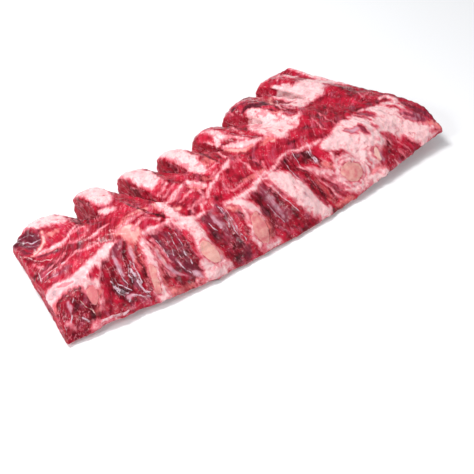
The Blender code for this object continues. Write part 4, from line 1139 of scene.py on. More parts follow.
class Group(Graph):
    """A shader node group that is being built, with its inputs as given."""

    def __init__(self, name: str, inputs: dict[str, str], outputs: dict[str, str]) -> None:
        """Make the group and its sockets.

        Args:
            name: the group's name.
            inputs: socket names with their types, such as Float, Vector or Color.
            outputs: the same for what it puts out.
        """
        super().__init__(bpy.data.node_groups.new(name, "ShaderNodeTree"))
        for way, sockets in (("INPUT", inputs), ("OUTPUT", outputs)):
            for label, kind in sockets.items():
                self.tree.interface.new_socket(label, in_out=way, socket_type="NodeSocket" + kind)
        self.given = self.tree.nodes.new("NodeGroupInput").outputs
        self.result = self.tree.nodes.new("NodeGroupOutput").inputs

    def put(self, **values: object) -> None:
        """Feed the group's outputs by name."""
        for label, value in values.items():
            self.feed(self.result[label], value)


@dataclass(frozen=True)
class FatLook:
    """Colours of fat, from grey beige over white to pink, with its blotches and veins.

    Scales are in features for each metre.
    """

    dull: Rgba = colour(190, 152, 158)
    white: Rgba = colour(230, 178, 182)
    light: Rgba = colour(243, 202, 203)
    pink: Rgba = colour(224, 134, 144)
    blotch: Rgba = colour(204, 78, 98)
    vein: Rgba = colour(170, 26, 50)
    patch_scale: float = 105.0
    blotch_scale: float = 120.0
    vein_scale: float = 130.0
    veined_scale: float = 55.0
    lump_scale: float = 420.0

    def group(self) -> bpy.types.NodeTree:
        """Build the node group of fat.

        Returns:
            A group that puts out colour and height.
        """
        g = Group("fat_colour", {"Vector": "Vector", "Tone": "Float"}, {"Color": "Color", "Height": "Float"})
        vector = g.given["Vector"]
        patches = g.noise(vector, self.patch_scale, 4.0, 0.6)
        level = g.math("ADD", g.math("MULTIPLY", g.given["Tone"], 0.2), patches)
        base = g.ramp(level, ((0.22, self.dull), (0.42, self.white), (0.58, self.light), (0.72, self.pink)))
        blotch = g.span(g.noise(vector, self.blotch_scale, 4.0, 0.62), 0.54, 0.74, 0.0, 0.6)
        base = g.mix(blotch, base, self.blotch)
        veined = g.span(g.noise(vector, self.veined_scale, 1.0), 0.52, 0.62)
        veins = g.math("MULTIPLY", g.span(g.crease(g.noise(vector, self.vein_scale)), 0.016, 0.002), veined)
        base = g.mix(g.math("MULTIPLY", veins, 0.6), base, self.vein)
        g.put(Color=base, Height=g.total((patches, 0.6), (g.noise(vector, self.lump_scale), 0.35)))
        return g.tree


@dataclass(frozen=True)
class MarrowLook:
    """Colours of a sawn bone: spongy tan pink inside, with pores.

    Scales are in features for each metre.
    """

    inside: Rgba = colour(230, 166, 156)
    deep: Rgba = colour(216, 116, 122)
    pore: Rgba = colour(196, 104, 108)
    light: Rgba = colour(242, 198, 188)
    sponge_scale: float = 160.0
    pore_scale: float = 1300.0

    def group(self) -> bpy.types.NodeTree:
        """Build the node group of sawn bone.

        Returns:
            A group that puts out colour and height.
        """
        g = Group("sawn_bone_colour", {"Vector": "Vector", "Tone": "Float"},
                  {"Color": "Color", "Height": "Float"})
        vector = g.given["Vector"]
        sponge = g.math("MULTIPLY_ADD", g.noise(vector, self.sponge_scale, 3.0, 0.6), 0.6, 0.2)
        level = g.math("ADD", sponge, g.math("MULTIPLY", g.given["Tone"], 0.25))
        base = g.ramp(level, ((0.3, self.deep), (0.5, self.inside), (0.75, self.light)))
        cells = g.add("TexVoronoi", feature="F1")
        g.feed(cells.inputs["Scale"], self.pore_scale)
        g.feed(cells.inputs["Vector"], vector)
        pores = g.span(cells.outputs["Distance"], 0.34, 0.12)
        base = g.mix(g.math("MULTIPLY", pores, 0.35), base, self.pore)
        g.put(Color=base, Height=g.math("SUBTRACT", 0.5, g.math("MULTIPLY", pores, 0.5)))
        return g.tree


@dataclass(frozen=True)
class FleshLook:
    """Colours of the rack's tissues, laid over each other by their painted attributes.

    A stretch scales the fibres' own coordinates. An edge is how far its line wanders and how soft it is,
    in centimetres.
    """

    muscle: Stops = ((0.0, colour(58, 0, 10)), (0.22, colour(104, 0, 22)), (0.48, colour(158, 8, 38)),
                     (0.75, colour(190, 20, 52)), (1.0, colour(212, 56, 84)))
    # Colours of the sheet, whose lavender grey end also serves as painted sheen.
    sheet: Stops = ((0.0, colour(84, 10, 30)), (0.5, colour(136, 46, 68)), (1.0, colour(202, 156, 172)))
    stain: Stops = ((0.0, colour(200, 46, 60)), (0.5, colour(230, 128, 128)), (1.0, colour(244, 200, 192)))
    marbling: Rgba = colour(222, 120, 134)
    stained: Rgba = colour(216, 104, 120)
    fleck: Rgba = colour(238, 186, 190)
    # Pale lines of thin membrane, whose colour also stands for painted highlights.
    thread_and_highlight: Rgba = colour(228, 196, 210)
    cream: Rgba = colour(244, 200, 192)
    veil_and_sheen: Rgba = colour(204, 100, 128)
    fibre_stretch: Triple = (0.5, 3.0, 1.5)
    strand_stretch: Triple = (1.4, 10.0, 5.0)
    comb_stretch: Triple = (0.8, 4.5, 2.0)
    marbling_stretch: Triple = (0.5, 2.4, 1.2)
    veil_stretch: Triple = (0.5, 1.6, 1.0)
    sheet_edge: Pair = (0.35, 0.24)
    stain_edge: Pair = (0.6, 0.26)
    fat_edge: Pair = (0.42, 0.15)
    film_edge: Pair = (0.05, 0.03)
    marrow_edge: Pair = (0.06, 0.045)

    @staticmethod
    def edge_group() -> bpy.types.NodeTree:
        """Build the node group that turns a painted distance into a mask with a lively edge.

        Returns:
            A group that puts out the mask.
        """
        labels = ("Distance", "Wobble", "Reach", "Soft")
        g = Group("tissue_edge", dict.fromkeys(labels, "Float"), {"Mask": "Float"})
        distance, wobble, reach, soft = (g.given[label] for label in labels)
        moved = g.math("ADD", distance, g.math("MULTIPLY", wobble, reach))
        g.put(Mask=g.span(moved, g.math("MULTIPLY", soft, -1.0), soft))
        return g.tree

    def _muscle(self, g: Group, fibres: Socket, strands: Socket, blotches: Socket) -> Socket:
        """Colour of bare muscle, with its marbling and pale patches over it that are partly fascia and
        partly painted sheen.

        Args:
            g: the group that it is added to.
            fibres: noise along the fibres.
            strands: finer noise along them.
            blotches: broad noise.

        Returns:
            The colour.
        """
        vector, grain, tone = (g.given[label] for label in ("Vector", "Grain", "Tone"))
        level = g.math("MULTIPLY", tone, 0.36)
        for value, weight in ((fibres, 0.85), (strands, 0.25), (blotches, 1.3)):
            level = g.math("ADD", level, g.swing(value, weight))
        base = g.ramp(g.math("ADD", level, 0.5), self.muscle)
        seams = g.crease(g.noise(grain, 1.0, 3.0, 0.55, self.marbling_stretch))
        marbled = g.span(g.noise(vector, 75.0, 2.0, 0.6), 0.46, 0.6)
        marbling = g.math("MULTIPLY", g.span(seams, 0.03, 0.005), marbled)
        base = g.mix(g.math("MULTIPLY", marbling, 0.6), base, self.marbling)
        flecked = g.span(g.noise(vector, 70.0, 1.0), 0.48, 0.6)
        flecks = g.math("MULTIPLY", g.span(g.noise(vector, 520.0, 1.0, 0.4), 0.66, 0.74), flecked)
        base = g.mix(g.math("MULTIPLY", flecks, 0.42), base, self.fleck)
        # Pale patches of fascia, partly painted sheen of the wet surface.
        veil_and_sheen = g.span(g.noise(grain, 1.0, 4.0, 0.62, self.veil_stretch), 0.5, 0.72, 0.0, 0.4)
        return g.mix(veil_and_sheen, base, self.veil_and_sheen)

    def group(self, fat_tree: bpy.types.NodeTree, marrow_tree: bpy.types.NodeTree) -> bpy.types.NodeTree:
        """Build the node group with the whole painted surface.

        Args:
            fat_tree: the group that colours fat.
            marrow_tree: the group that colours sawn bone.

        Returns:
            A group that puts out colour, roughness, coat and height.
        """
        g = Group("flesh", {"Vector": "Vector", "Grain": "Vector"} | dict.fromkeys(PAINTED, "Float"),
                  {"Color": "Color", "Roughness": "Float", "Coat": "Float", "Height": "Float"})
        vector, grain, tone = (g.given[label] for label in ("Vector", "Grain", "Tone"))
        edge_tree = self.edge_group()
        comb = g.noise(grain, 1.0, 2.0, 0.6, self.comb_stretch)
        wobble = g.math("SUBTRACT", g.math("ADD", g.noise(vector, 190.0, 3.0, 0.6), comb), 1.0)

        def mask(distance: Socket, edge: Pair) -> Socket:
            """Mask of one painted tissue."""
            node = g.place(edge_tree, Distance=distance, Wobble=wobble, Reach=edge[0], Soft=edge[1])
            return node.outputs["Mask"]

        fibres = g.noise(grain, 1.0, 4.0, 0.62, self.fibre_stretch)
        strands = g.noise(grain, 1.0, 2.0, 0.6, self.strand_stretch)
        blotches = g.noise(vector, 70.0, 3.0, 0.6)
        base = self._muscle(g, fibres, strands, blotches)

        # The sheet over some muscles, streaked like what lies under it, with light tones that are partly
        # painted sheen, and fat that blood has stained.
        half = g.math("MULTIPLY_ADD", tone, 0.5, 0.5)
        sheet = g.ramp(g.math("ADD", half, g.swing(fibres, 1.3)), self.sheet)
        sheet_mask = mask(g.given["Membrane"], self.sheet_edge)
        base = g.mix(g.math("MULTIPLY", sheet_mask, 0.86), base, sheet)
        stain = g.ramp(g.math("ADD", half, g.swing(blotches, 1.2)), self.stain)
        base = g.mix(mask(g.given["Peach"], self.stain_edge), base, stain)

        # Fat, with a stained halo outside its edge and a stained rim inside it.
        fat_node = g.place(fat_tree, Vector=vector, Tone=tone)
        fat_mask = mask(g.given["Fat"], self.fat_edge)
        halo = g.math("ADD", g.given["Fat"], g.math("MULTIPLY", wobble, 0.5))
        base = g.mix(g.span(halo, -0.17, 0.06, 0.0, 0.42), base, self.stained)
        rim = g.span(g.math("ADD", g.given["Fat"], g.math("MULTIPLY", wobble, 0.6)), -0.03, 0.34)
        base = g.mix(fat_mask, base, g.mix(rim, self.stained, fat_node.outputs["Color"]))

        # Thin films, whose pale colour is partly painted highlight and comes and goes in painted glints, and
        # sawn bone.
        painted_glint = g.span(g.noise(vector, 160.0, 2.0, 0.6), 0.38, 0.58, 0.1, 0.78)
        inside = g.math("SUBTRACT", g.given["Film_and_highlight"], g.math("ABSOLUTE", g.given["Line"]))
        film_and_highlight_mask = g.math("MULTIPLY", mask(inside, self.film_edge), painted_glint)
        base = g.mix(film_and_highlight_mask, base, g.mix(g.given["Cream"], self.thread_and_highlight, self.cream))
        marrow_node = g.place(marrow_tree, Vector=vector, Tone=tone)
        marrow_mask = mask(g.given["Marrow"], self.marrow_edge)
        base = g.mix(marrow_mask, base, marrow_node.outputs["Color"])

        height = g.total((fibres, 0.5), (strands, 0.25), (fat_mask, fat_node.outputs["Height"]),
                         (film_and_highlight_mask, 0.45), (marrow_mask, marrow_node.outputs["Height"]))
        uneven = g.math("SUBTRACT", g.noise(vector, 260.0), 0.5)
        rough = g.total((uneven, 0.22), (fat_mask, 0.1), (marrow_mask, 0.16), (film_and_highlight_mask, -0.1),
                        (g.given["Wall"], 0.3), start=0.3)
        dry = g.math("MAXIMUM", g.math("MULTIPLY", marrow_mask, 0.1),
                     g.math("MULTIPLY", g.given["Wall"], 0.14))
        g.put(Color=base, Roughness=rough, Coat=g.math("SUBTRACT", 0.14, dry), Height=height)
        return g.tree


@dataclass(frozen=True)
class FleshFinish:
    """Material of the flesh or of a bone: the painted surface under a wet coat.

    Relief is the height of its bumps and glow_depth how far light spreads in it, in metres.
    """

    name: str
    bump: float = 0.55
    soft: float = 0.12
    bone: bool = False
    bone_side: Rgba = colour(236, 200, 188)
    bone_stain: Rgba = colour(222, 140, 134)
    relief: float = 0.0016
    coat_roughness: float = 0.14
    ior: float = 1.34
    specular: float = 0.36
    glow: Triple = (0.9, 0.25, 0.15)
    glow_depth: float = 0.004

    def build(self, flesh: bpy.types.NodeTree) -> bpy.types.Material:
        """Make the material.

        Args:
            flesh: the group of painted tissues.

        Returns:
            The finished material.
        """
        material = bpy.data.materials.new(self.name)
        material.use_nodes = True
        g = Graph(material.node_tree)
        shader = material.node_tree.nodes["Principled BSDF"]
        vector = g.add("TexCoord").outputs["Object"]
        painted = {label: g.attribute(label.lower()) for label in PAINTED}
        group = g.place(flesh, Vector=vector, Grain=g.attribute("grain", "Vector"), **painted)
        base = group.outputs["Color"]
        if self.bone:
            patches = g.span(g.noise(vector, 120.0, 2.0, 0.6), 0.45, 0.75)
            base = g.mix(g.attribute("side"), base, g.mix(patches, self.bone_side, self.bone_stain))
        bump = g.add("Bump")
        for label, value in (("Strength", self.bump), ("Distance", self.relief),
                             ("Height", group.outputs["Height"])):
            g.feed(bump.inputs[label], value)
        for label, value in (("Base Color", base), ("Roughness", group.outputs["Roughness"]),
                             ("Coat Weight", group.outputs["Coat"]), ("Normal", bump.outputs[0]),
                             ("Coat Roughness", self.coat_roughness), ("IOR", self.ior),
                             ("Specular IOR Level", self.specular), ("Subsurface Weight", self.soft),
                             ("Subsurface Radius", self.glow), ("Subsurface Scale", self.glow_depth)):
            g.feed(shader.inputs[label], value)
        return material


class Tool:
    """Mesh work that several pieces share."""

    @staticmethod
    def only(piece: bpy.types.Object) -> None:
        """Select and activate one object alone.

        Args:
            piece: the object.
        """
        for other in bpy.context.view_layer.objects:
            other.select_set(False)
        piece.select_set(True)
        bpy.context.view_layer.objects.active = piece

    @staticmethod
    def copy_of(node: str, name: str) -> bpy.types.Object:
        """Make a new piece with a merged copy of a node's mesh.

        Args:
            node: the CAD node.
            name: the new piece's name.

        Returns:
            The new object, with its own mesh.
        """
        mesh = frame["nodes"][node].data.copy()
        mesh.name = name
        mesh.materials.clear()
        piece = bpy.data.objects.new(name, mesh)
        bpy.context.scene.collection.objects.link(piece)
        Tool.only(piece)
        bpy.ops.object.mode_set(mode="EDIT")
        bpy.ops.mesh.select_all(action="SELECT")
        bpy.ops.mesh.remove_doubles(threshold=1e-5)
        bpy.ops.object.mode_set(mode="OBJECT")
        return piece

    @staticmethod
    def modify(piece: bpy.types.Object, kind: str, **settings: object) -> None:
        """Add a modifier and apply it.

        Args:
            piece: the object.
            kind: the modifier's type.
            settings: properties to set on it.
        """
        Tool.only(piece)
        modifier = piece.modifiers.new(kind.lower(), kind)
        for name, value in settings.items():
            setattr(modifier, name, value)
        bpy.ops.object.modifier_apply(modifier=modifier.name)

    @staticmethod
    def points(piece: bpy.types.Object) -> tuple[np.ndarray, np.ndarray]:
        """Places and normals of a piece's vertices.

        Args:
            piece: the object.

        Returns:
            Two tables with a row of x, y and z for each vertex.
        """
        count = len(piece.data.vertices)
        places, normals = np.empty(count * 3), np.empty(count * 3)
        piece.data.vertices.foreach_get("co", places)
        piece.data.vertices.foreach_get("normal", normals)
        return places.reshape(-1, 3), normals.reshape(-1, 3)

    @staticmethod
    def move(piece: bpy.types.Object, places: np.ndarray) -> None:
        """Put a piece's vertices at new places."""
        piece.data.vertices.foreach_set("co", places.ravel())
        piece.data.update()

    @staticmethod
    def weigh(piece: bpy.types.Object, name: str, weights: np.ndarray) -> None:
        """Give a vertex group its weights, in steps of a tenth.

        Args:
            piece: the object.
            name: the group's name.
            weights: one weight of 0 to 1 for each vertex.
        """
        group = piece.vertex_groups.new(name=name)
        steps = np.round(weights * 10).astype(int)
        for step in range(1, 11):
            group.add(np.flatnonzero(steps == step).tolist(), step / 10, "REPLACE")

    @staticmethod
    def write(piece: bpy.types.Object, values: dict[str, np.ndarray]) -> None:
        """Store painted values as attributes of the vertices.

        Args:
            piece: the object.
            values: one number or vector for each vertex, by attribute name.
        """
        for name, data in values.items():
            kind, key = ("FLOAT", "value") if data.ndim == 1 else ("FLOAT_VECTOR", "vector")
            layer = piece.data.attributes.new(name, kind, "POINT")
            layer.data.foreach_set(key, data.astype(np.float32).ravel())

    @staticmethod
    def tree_of(pieces: list[bpy.types.Object], flat: bool = False) -> BVHTree:
        """Search tree over the meshes of some objects.

        Args:
            pieces: the objects.
            flat: whether their meshes are pressed flat on the floor first.

        Returns:
            The tree.
        """
        squeeze = Vector((1.0, 1.0, 0.0 if flat else 1.0))
        corners: list[Vector] = []
        faces: list[list[int]] = []
        for mesh in (piece.data for piece in pieces):
            first = len(corners)
            corners += [v.co * squeeze for v in mesh.vertices]
            faces += [[first + i for i in face.vertices] for face in mesh.polygons]
        return BVHTree.FromPolygons(corners, faces)

    @staticmethod
    def distances(tree: BVHTree, places: np.ndarray, limit: float) -> np.ndarray:
        """Distance of each place from a search tree, up to a limit, in metres."""
        found = (tree.find_nearest(Vector(p), limit)[3] for p in places.tolist())
        return np.array([limit if d is None else d for d in found])


@dataclass
class Sight:
    """Looks from the photograph's camera through a pixel at the CAD.

    A pixel that misses the rack by a hair takes one of its neighbours.
    """

    tree: BVHTree
    steps: tuple[tuple[int, int], ...] = (
        (0, 0), (0, 2), (2, 0), (-2, 0), (0, -2), (2, 2), (4, 0), (0, 4), (-4, 0), (0, -4), (4, 4), (-4, 4))
    way: Vector = field(init=False)
    right: Vector = field(init=False)
    up: Vector = field(init=False)

    def __post_init__(self) -> None:
        """Work out the camera's directions."""
        self.way = (Vector(AIM) - Vector(EYE)).normalized()
        self.right = self.way.cross(Vector((0, 0, 1))).normalized()
        self.up = self.right.cross(self.way)

    def spot(self, across: float, down: float, half: float) -> Spot | None:
        """A spot of the picture as a spot in plan.

        Args:
            across: pixels from the picture's left edge.
            down: pixels from its upper edge.
            half: the stroke's half width in pixels.

        Returns:
            Place and half width in centimetres, or nothing where no part of the rack is near.
        """
        for right, down_too in self.steps:
            x = ((across + right) / PICTURE - 0.5) * SENSOR / LENS
            y = (0.5 - (down + down_too) / PICTURE) * SENSOR / LENS
            hit = self.tree.ray_cast(Vector(EYE), self.way + self.right * x + self.up * y)[0]
            if hit is not None:
                return hit.x / CM, hit.y / CM, half * PIXEL
        return None

    def plan(self, stroke: Stroke) -> Stroke:
        """A stroke of the picture laid out in plan."""
        spots = (self.spot(*spot) for spot in stroke.spots)
        return replace(stroke, spots=tuple(spot for spot in spots if spot))


@dataclass
class Painter:
    """Turns the strokes into values at a mesh's vertices, the same on the flesh and on the bones.

    Waves are given by size and shift in centimetres, and by strength.
    """

    sight: Sight
    wander: tuple[Triple, ...] = ((1.1, 0.0, 0.16), (0.45, 7.0, 0.09))
    mottle: Triple = (2.2, 3.0, 0.5)
    fibres: FibreField = field(default_factory=FibreField)
    strokes: list[Stroke] = field(init=False)

    def __post_init__(self) -> None:
        """Lay the details over the broad areas, and the sawn bones over both."""
        seen = [self.sight.plan(stroke) for stroke in LEFT + FRONT + MIDDLE + BACK + RIGHT + TIP]
        self.strokes = [*BASE, *(stroke for stroke in seen if len(stroke.spots) > 1), *OVALS]

    def paint(self, places: np.ndarray) -> Canvas:
        """Paint a set of places.

        Args:
            places: rows of x, y and z in metres.

        Returns:
            The painted canvas.
        """
        spots = places / CM
        moved = spots + sum(waves(spots, size, shift) * strength for size, shift, strength in self.wander)
        canvas = Canvas(moved[:, 0], moved[:, 1])
        size, shift, strength = self.mottle
        canvas.tone += waves(spots, size, shift)[:, 0] * strength
        for stroke in self.strokes:
            canvas.paint(stroke)
        return canvas

    def values(self, places: np.ndarray, canvas: Canvas) -> dict[str, np.ndarray]:
        """Attributes of a painted canvas.

        Args:
            places: rows of x, y and z in metres.
            canvas: what was painted on them.

        Returns:
            Values by attribute name.
        """
        along, across = self.fibres.at(places[:, 0] / CM, places[:, 1] / CM)
        found = {tissue.value: np.clip(layer, -1, 1) for tissue, layer in canvas.fields.items()}
        found["tone"] = np.clip(canvas.tone, -1, 1)
        found["line"] = canvas.offset
        found["cream"] = canvas.line_tone
        found["wall"] = canvas.wall
        found["grain"] = np.stack([along, across, places[:, 2] / CM], axis=1)
        return found


@dataclass
class Skin:
    """The flesh's vertices while they are dressed.

    Places and gap, the distance from the nearest bone, are in metres, and spots are the places in
    centimetres. Under is 1 where the skin faces down, and drift holds waves that make edges ragged.
    """

    places: np.ndarray
    normals: np.ndarray
    gap: np.ndarray
    canvas: Canvas
    facing_down: Pair = (0.05, -0.3)
    spots: np.ndarray = field(init=False)
    under: np.ndarray = field(init=False)
    drift: np.ndarray = field(init=False)

    def __post_init__(self) -> None:
        """Work out what the dressing steps share."""
        self.spots = self.places / CM
        self.under = smooth(*self.facing_down, self.normals[:, 2])
        self.drift = waves(self.spots, 1.2, 11.0)


@dataclass
class Flesh:
    """The meat of the rack: muscle, fat and membrane in one wet, lumpy skin.

    The skin also runs under the sawn ends of the bones, so that no gap opens round them. Fields up to
    near_floor are in metres, and later lengths in plan are in centimetres.
    """

    bones: list[str]
    node: str = "rib_meat"
    voxel: float = 0.00125
    quick_voxel: float = 0.0021
    overlap: float = 0.0004
    search: float = 0.012
    shadow_search: float = 0.02
    still: Pair = (0.0006, 0.0035)
    near_floor: Pair = (0.0, 0.004)
    kept: float = 0.69
    hidden: Pair = (-0.25, -0.6)
    steep: Pair = (0.42, 0.12)
    behind_slope: Pair = (-6.0, -4.5)
    far_ends: Pair = (21.0, 21.8)
    # Where the last two notches end inside fat: a place in plan and its reach.
    pale_ends: tuple[Spot, ...] = ((5.4, 2.8, 1.9), (11.6, 4.2, 3.0))
    # Soft lumps: size and shift of the waves in centimetres, and height in millimetres.
    lumps: tuple[Triple, ...] = ((1.6, 31.0, 1.3), (0.6, 36.0, 1.0), (0.28, 41.0, 0.42))
    # Height of the ridge along a bone below and of the highest lump, in millimetres.
    ridge: float = 1.4
    tallest: float = 1.5

    def build(self, painter: Painter) -> bpy.types.Object:
        """Model and paint the flesh.

        Args:
            painter: the strokes.

        Returns:
            The finished piece without its material.
        """
        piece = self._closed_form()
        _, normals = Tool.points(piece)
        Tool.weigh(piece, "hidden", smooth(*self.hidden, normals[:, 2]))
        Tool.modify(piece, "DECIMATE", ratio=self.kept, vertex_group="hidden")
        places, normals = Tool.points(piece)
        bones = [frame["nodes"][name] for name in self.bones]
        gap = Tool.distances(Tool.tree_of(bones), places, self.search)
        skin = Skin(places, normals, gap, painter.paint(places))
        self._dress_sides(skin)
        self._dress_underside(skin, Tool.tree_of(bones, flat=True))
        Tool.move(piece, self._raised(skin))
        Tool.write(piece, painter.values(places, skin.canvas))
        piece.vertex_groups.clear()
        return piece

    def _closed_form(self) -> bpy.types.Object:
        """Grow the meat's solid together with copies of its bones, and smooth it.

        Returns:
            The piece, whose bone channels are filled.
        """
        piece = Tool.copy_of(self.node, "flesh")
        cores = [Tool.copy_of(name, "core") for name in self.bones]
        for core in cores:
            Tool.modify(core, "DISPLACE", strength=self.overlap, mid_level=0.0)
        Tool.only(piece)
        for core in cores:
            core.select_set(True)
        bpy.ops.object.join()
        Tool.modify(piece, "REMESH", mode="VOXEL", voxel_size=self.voxel)
        Tool.modify(piece, "SMOOTH", factor=0.5, iterations=9)
        return piece

    def _dress_sides(self, skin: Skin) -> None:
        """Paint the walls, and the rings round the bones' back ends.

        Args:
            skin: the vertices, whose canvas is changed.
        """
        canvas, spots, up = skin.canvas, skin.spots, skin.normals[:, 2]
        wall = smooth(*self.steep, np.abs(up)) * np.maximum(
            smooth(*self.behind_slope, spots[:, 1]), smooth(*self.far_ends, np.abs(spots[:, 0])))
        for x, y, reach in self.pale_ends:
            wall *= smooth(reach * 0.6, reach, np.hypot(spots[:, 0] - x, spots[:, 1] - y))
        for layer in canvas.fields.values():
            layer -= 2.0 * np.maximum(skin.under, wall * 0.6)
        sides = np.maximum(skin.under, wall)
        canvas.wall = wall * (1.0 - skin.under)
        canvas.tone += (0.15 + skin.drift[:, 0] * 0.8 - canvas.tone) * sides
        canvas.lift *= 1.0 - sides
        crossing = waves(spots * (1.0, 0.5, 1.0), 0.7, 21.0)
        streaks = 0.09 - 0.04 * canvas.wall - np.abs(crossing[:, 0]) * 1.1
        streaks -= 0.3 * smooth(0.1, -0.1, crossing[:, 1])
        canvas.cover(Tissue.FAT, 0.2, sides > 0.5, streaks)
        back = (spots[:, 1] > 2.0) & (up > -0.5) & (up < 0.6)
        canvas.cover(Tissue.FAT, 0.1, back, 0.28 - skin.gap / CM + skin.drift[:, 2] * 0.2)

    def _dress_underside(self, skin: Skin, shadows: BVHTree) -> None:
        """Paint and raise the sheet that runs along each bone below, with a pale stripe in its middle.

        Args:
            skin: the vertices, whose canvas is changed.
            shadows: search tree over the bones pressed flat.
        """
        beside = Tool.distances(shadows, skin.places * (1.0, 1.0, 0.0), self.shadow_search) / CM
        ragged, fine = skin.drift, waves(skin.spots, 0.5, 17.0)
        layers = ((Tissue.MEMBRANE, 0.5, 0.55 + ragged[:, 1] * 0.5 + fine[:, 1] * 0.15),
                  (Tissue.FAT, 0.0, 0.12 + ragged[:, 2] * 0.4 + fine[:, 2] * 0.2))
        for tissue, tone, edge in layers:
            skin.canvas.cover(tissue, tone, skin.under > 0.5, edge - beside)
        skin.canvas.lift += self.ridge * skin.under * smooth(0.6, 0.0, beside)

    def _raised(self, skin: Skin) -> np.ndarray:
        """Places of the vertices, moved along their normals by the paint's lift and by soft lumps.

        Args:
            skin: the vertices and what was painted on them.

        Returns:
            Their new places, none of them below the floor.
        """
        height = skin.canvas.lift.copy()
        for size, shift, tall in self.lumps:
            height += waves(skin.spots, size, shift)[:, 0] * tall
        height *= smooth(*self.still, skin.gap)
        height = np.minimum(height, self.tallest)
        height *= smooth(*self.near_floor, skin.places[:, 2])
        moved = skin.places + skin.normals * (height * MM)[:, None]
        moved[:, 2] = np.maximum(moved[:, 2], 0.0)
        return moved


@dataclass
class RibBone:
    """One rib bone with its sawn ends, in metres, apart from rim, which is in centimetres."""

    number: int
    voxel: float = 0.0009
    quick_voxel: float = 0.00144
    search: float = 0.012
    clear: Pair = (0.0006, 0.00108)
    rim: float = 0.15
    reach: float = 0.003
    sunk: float = -0.0002
    proud: float = 0.00015

    def build(self, solid: BVHTree, skin: BVHTree, painter: Painter) -> bpy.types.Object:
        """Model and paint the bone.

        Args:
            solid: search tree over the meat's solid, which the bone's sawn ends are clear of.
            skin: search tree over the finished flesh.
            painter: the strokes, which also run over the bone's front end.

        Returns:
            The finished piece without its material.
        """
        piece = Tool.copy_of(f"rib_bone_{self.number}", f"bone_{self.number}")
        Tool.modify(piece, "REMESH", mode="VOXEL", voxel_size=self.voxel)
        Tool.modify(piece, "SMOOTH", factor=0.5, iterations=3)
        places, _ = Tool.points(piece)
        depth = Tool.distances(solid, places, self.search)
        face = smooth(*self.clear, depth)
        behind = places[:, 1] > 0.0
        canvas = painter.paint(places)
        canvas.cover(Tissue.MARROW, 0.0, behind, depth / CM - self.rim)
        values = painter.values(places, canvas)
        values["fat"] = np.where(behind, 0.5, values["fat"])
        values["side"] = np.where(behind, 1.0 - face, 0.0)
        Tool.write(piece, values)
        Tool.move(piece, self._settled(places, face, skin))
        return piece

    def _settled(self, places: np.ndarray, face: np.ndarray, skin: BVHTree) -> np.ndarray:
        """Places with the sawn ends a little proud of the flesh, and the rim just under it.

        Args:
            places: the bone's vertices.
            face: 1 on a sawn end, 0 on the bone's side.
            skin: search tree over the finished flesh.

        Returns:
            The new places.
        """
        settled = places.copy()
        for row, spot in enumerate(places.tolist()):
            near, way, _, _ = skin.find_nearest(Vector(spot), self.reach)
            if near is None:
                continue
            level = self.sunk + (self.proud - self.sunk) * face[row]
            if face[row] > 0.0 or (Vector(spot) - near).dot(way) > level:
                settled[row] = near + way * level
        return settled


@dataclass(frozen=True)
class SoftBox:
    """A square soft light that looks at the rack's middle, in metres and watts."""

    name: str
    place: Triple
    size: float
    power: float

    def build(self) -> None:
        """Add the light."""
        data = bpy.data.lights.new(self.name, "AREA")
        data.shape = "RECTANGLE"
        data.size = data.size_y = self.size
        data.energy = self.power
        lamp = bpy.data.objects.new(self.name, data)
        lamp.location = self.place
        lamp.rotation_euler = (-Vector(self.place)).to_track_quat("-Z", "Y").to_euler()
        bpy.context.scene.collection.objects.link(lamp)


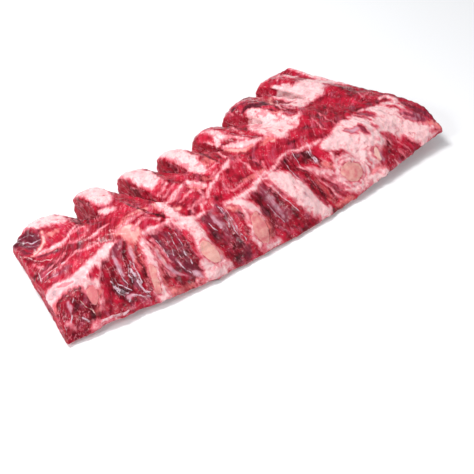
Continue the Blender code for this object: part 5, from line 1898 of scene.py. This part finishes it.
@dataclass
class Studio:
    """Pale floor, soft lights and the camera at the photograph's angle."""

    floor_size: float = 6.0
    floor_roughness: float = 0.6
    sky: Rgba = (0.95, 0.97, 1.0, 1.0)
    sky_strength: float = 0.3
    boxes: tuple[SoftBox, ...] = (SoftBox("overhead_box", (-0.35, 0.45, 1.2), 0.4, 15.0),
                                  SoftBox("left_box", (-1.0, -0.1, 0.8), 0.3, 4.5),
                                  SoftBox("front_box", (0.1, -1.1, 0.95), 0.4, 6.0))

    def build(self) -> None:
        """Add everything that isn't part of the rack."""
        self._floor()
        self._camera()
        for box in self.boxes:
            box.build()
        world = bpy.data.worlds.new("studio")
        world.use_nodes = True
        background = world.node_tree.nodes["Background"]
        background.inputs["Color"].default_value = self.sky
        background.inputs["Strength"].default_value = self.sky_strength
        bpy.context.scene.world = world
        bpy.context.scene.view_settings.view_transform = "Standard"

    def _floor(self) -> None:
        """Large pale floor under the rack."""
        bpy.ops.mesh.primitive_plane_add(size=self.floor_size, location=(0, 0, 0))
        floor = bpy.context.object
        floor.name = "floor"
        material = bpy.data.materials.new("pale_floor")
        material.use_nodes = True
        g = Graph(material.node_tree)
        shader = material.node_tree.nodes["Principled BSDF"]
        cloud = g.noise(g.add("TexCoord").outputs["Object"], 3.0)
        g.feed(shader.inputs["Base Color"], g.mix(cloud, colour(240, 241, 243), colour(246, 246, 247)))
        g.feed(shader.inputs["Roughness"], self.floor_roughness)
        floor.data.materials.append(material)

    def _camera(self) -> None:
        """Camera of the photograph."""
        data = bpy.data.cameras.new("camera")
        data.lens = LENS
        data.sensor_width = SENSOR
        camera = bpy.data.objects.new("camera", data)
        camera.location = EYE
        camera.rotation_euler = (Vector(AIM) - Vector(EYE)).to_track_quat("-Z", "Y").to_euler()
        bpy.context.scene.collection.objects.link(camera)
        bpy.context.scene.camera = camera


@dataclass
class Rack:
    """The whole rack: flesh, eight bones and their finishes."""

    bones: int = 8

    def build(self) -> None:
        """Build each piece, dress it and bind it to the frame."""
        nodes = [f"rib_bone_{n}" for n in range(1, self.bones + 1)]
        painter = Painter(Sight(Tool.tree_of(list(frame["nodes"].values()))))
        flesh_group = FleshLook().group(FatLook().group(), MarrowLook().group())
        wet = FleshFinish("raw_meat").build(flesh_group)
        sawn = FleshFinish("sawn_bone", bump=0.4, soft=0.08, bone=True).build(flesh_group)
        flesh = Flesh(nodes).build(painter)
        self._finish(flesh, wet, "rib_meat", "meat")
        solid, skin = Tool.tree_of([frame["nodes"]["rib_meat"]]), Tool.tree_of([flesh])
        for number, node in enumerate(nodes, start=1):
            bone = RibBone(number).build(solid, skin, painter)
            self._finish(bone, sawn, node, "bone")

    @staticmethod
    def _finish(piece: bpy.types.Object, material: bpy.types.Material, node: str, slot: str) -> None:
        """Shade a piece, give it its material and bind it.

        Args:
            piece: the new piece.
            material: its finish.
            node: the CAD node that it stands for.
            slot: the record's material slot; not used.
        """
        faces = piece.data.polygons
        piece.data.materials.append(material)
        faces.foreach_set("use_smooth", [True] * len(faces))
        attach(piece, "root")
        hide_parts(node)
        triangles = sum(len(face.vertices) - 2 for face in faces)
        LOG.info("%s stands for %s: %d triangles", piece.name, node, triangles)


def main() -> None:
    """Build the rack and its studio."""
    logging.basicConfig(level=logging.INFO, format="%(message)s")
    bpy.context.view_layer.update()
    noise.seed_set(SEED)
    Rack().build()
    Studio().build()


if __name__ == "__main__":
    main()
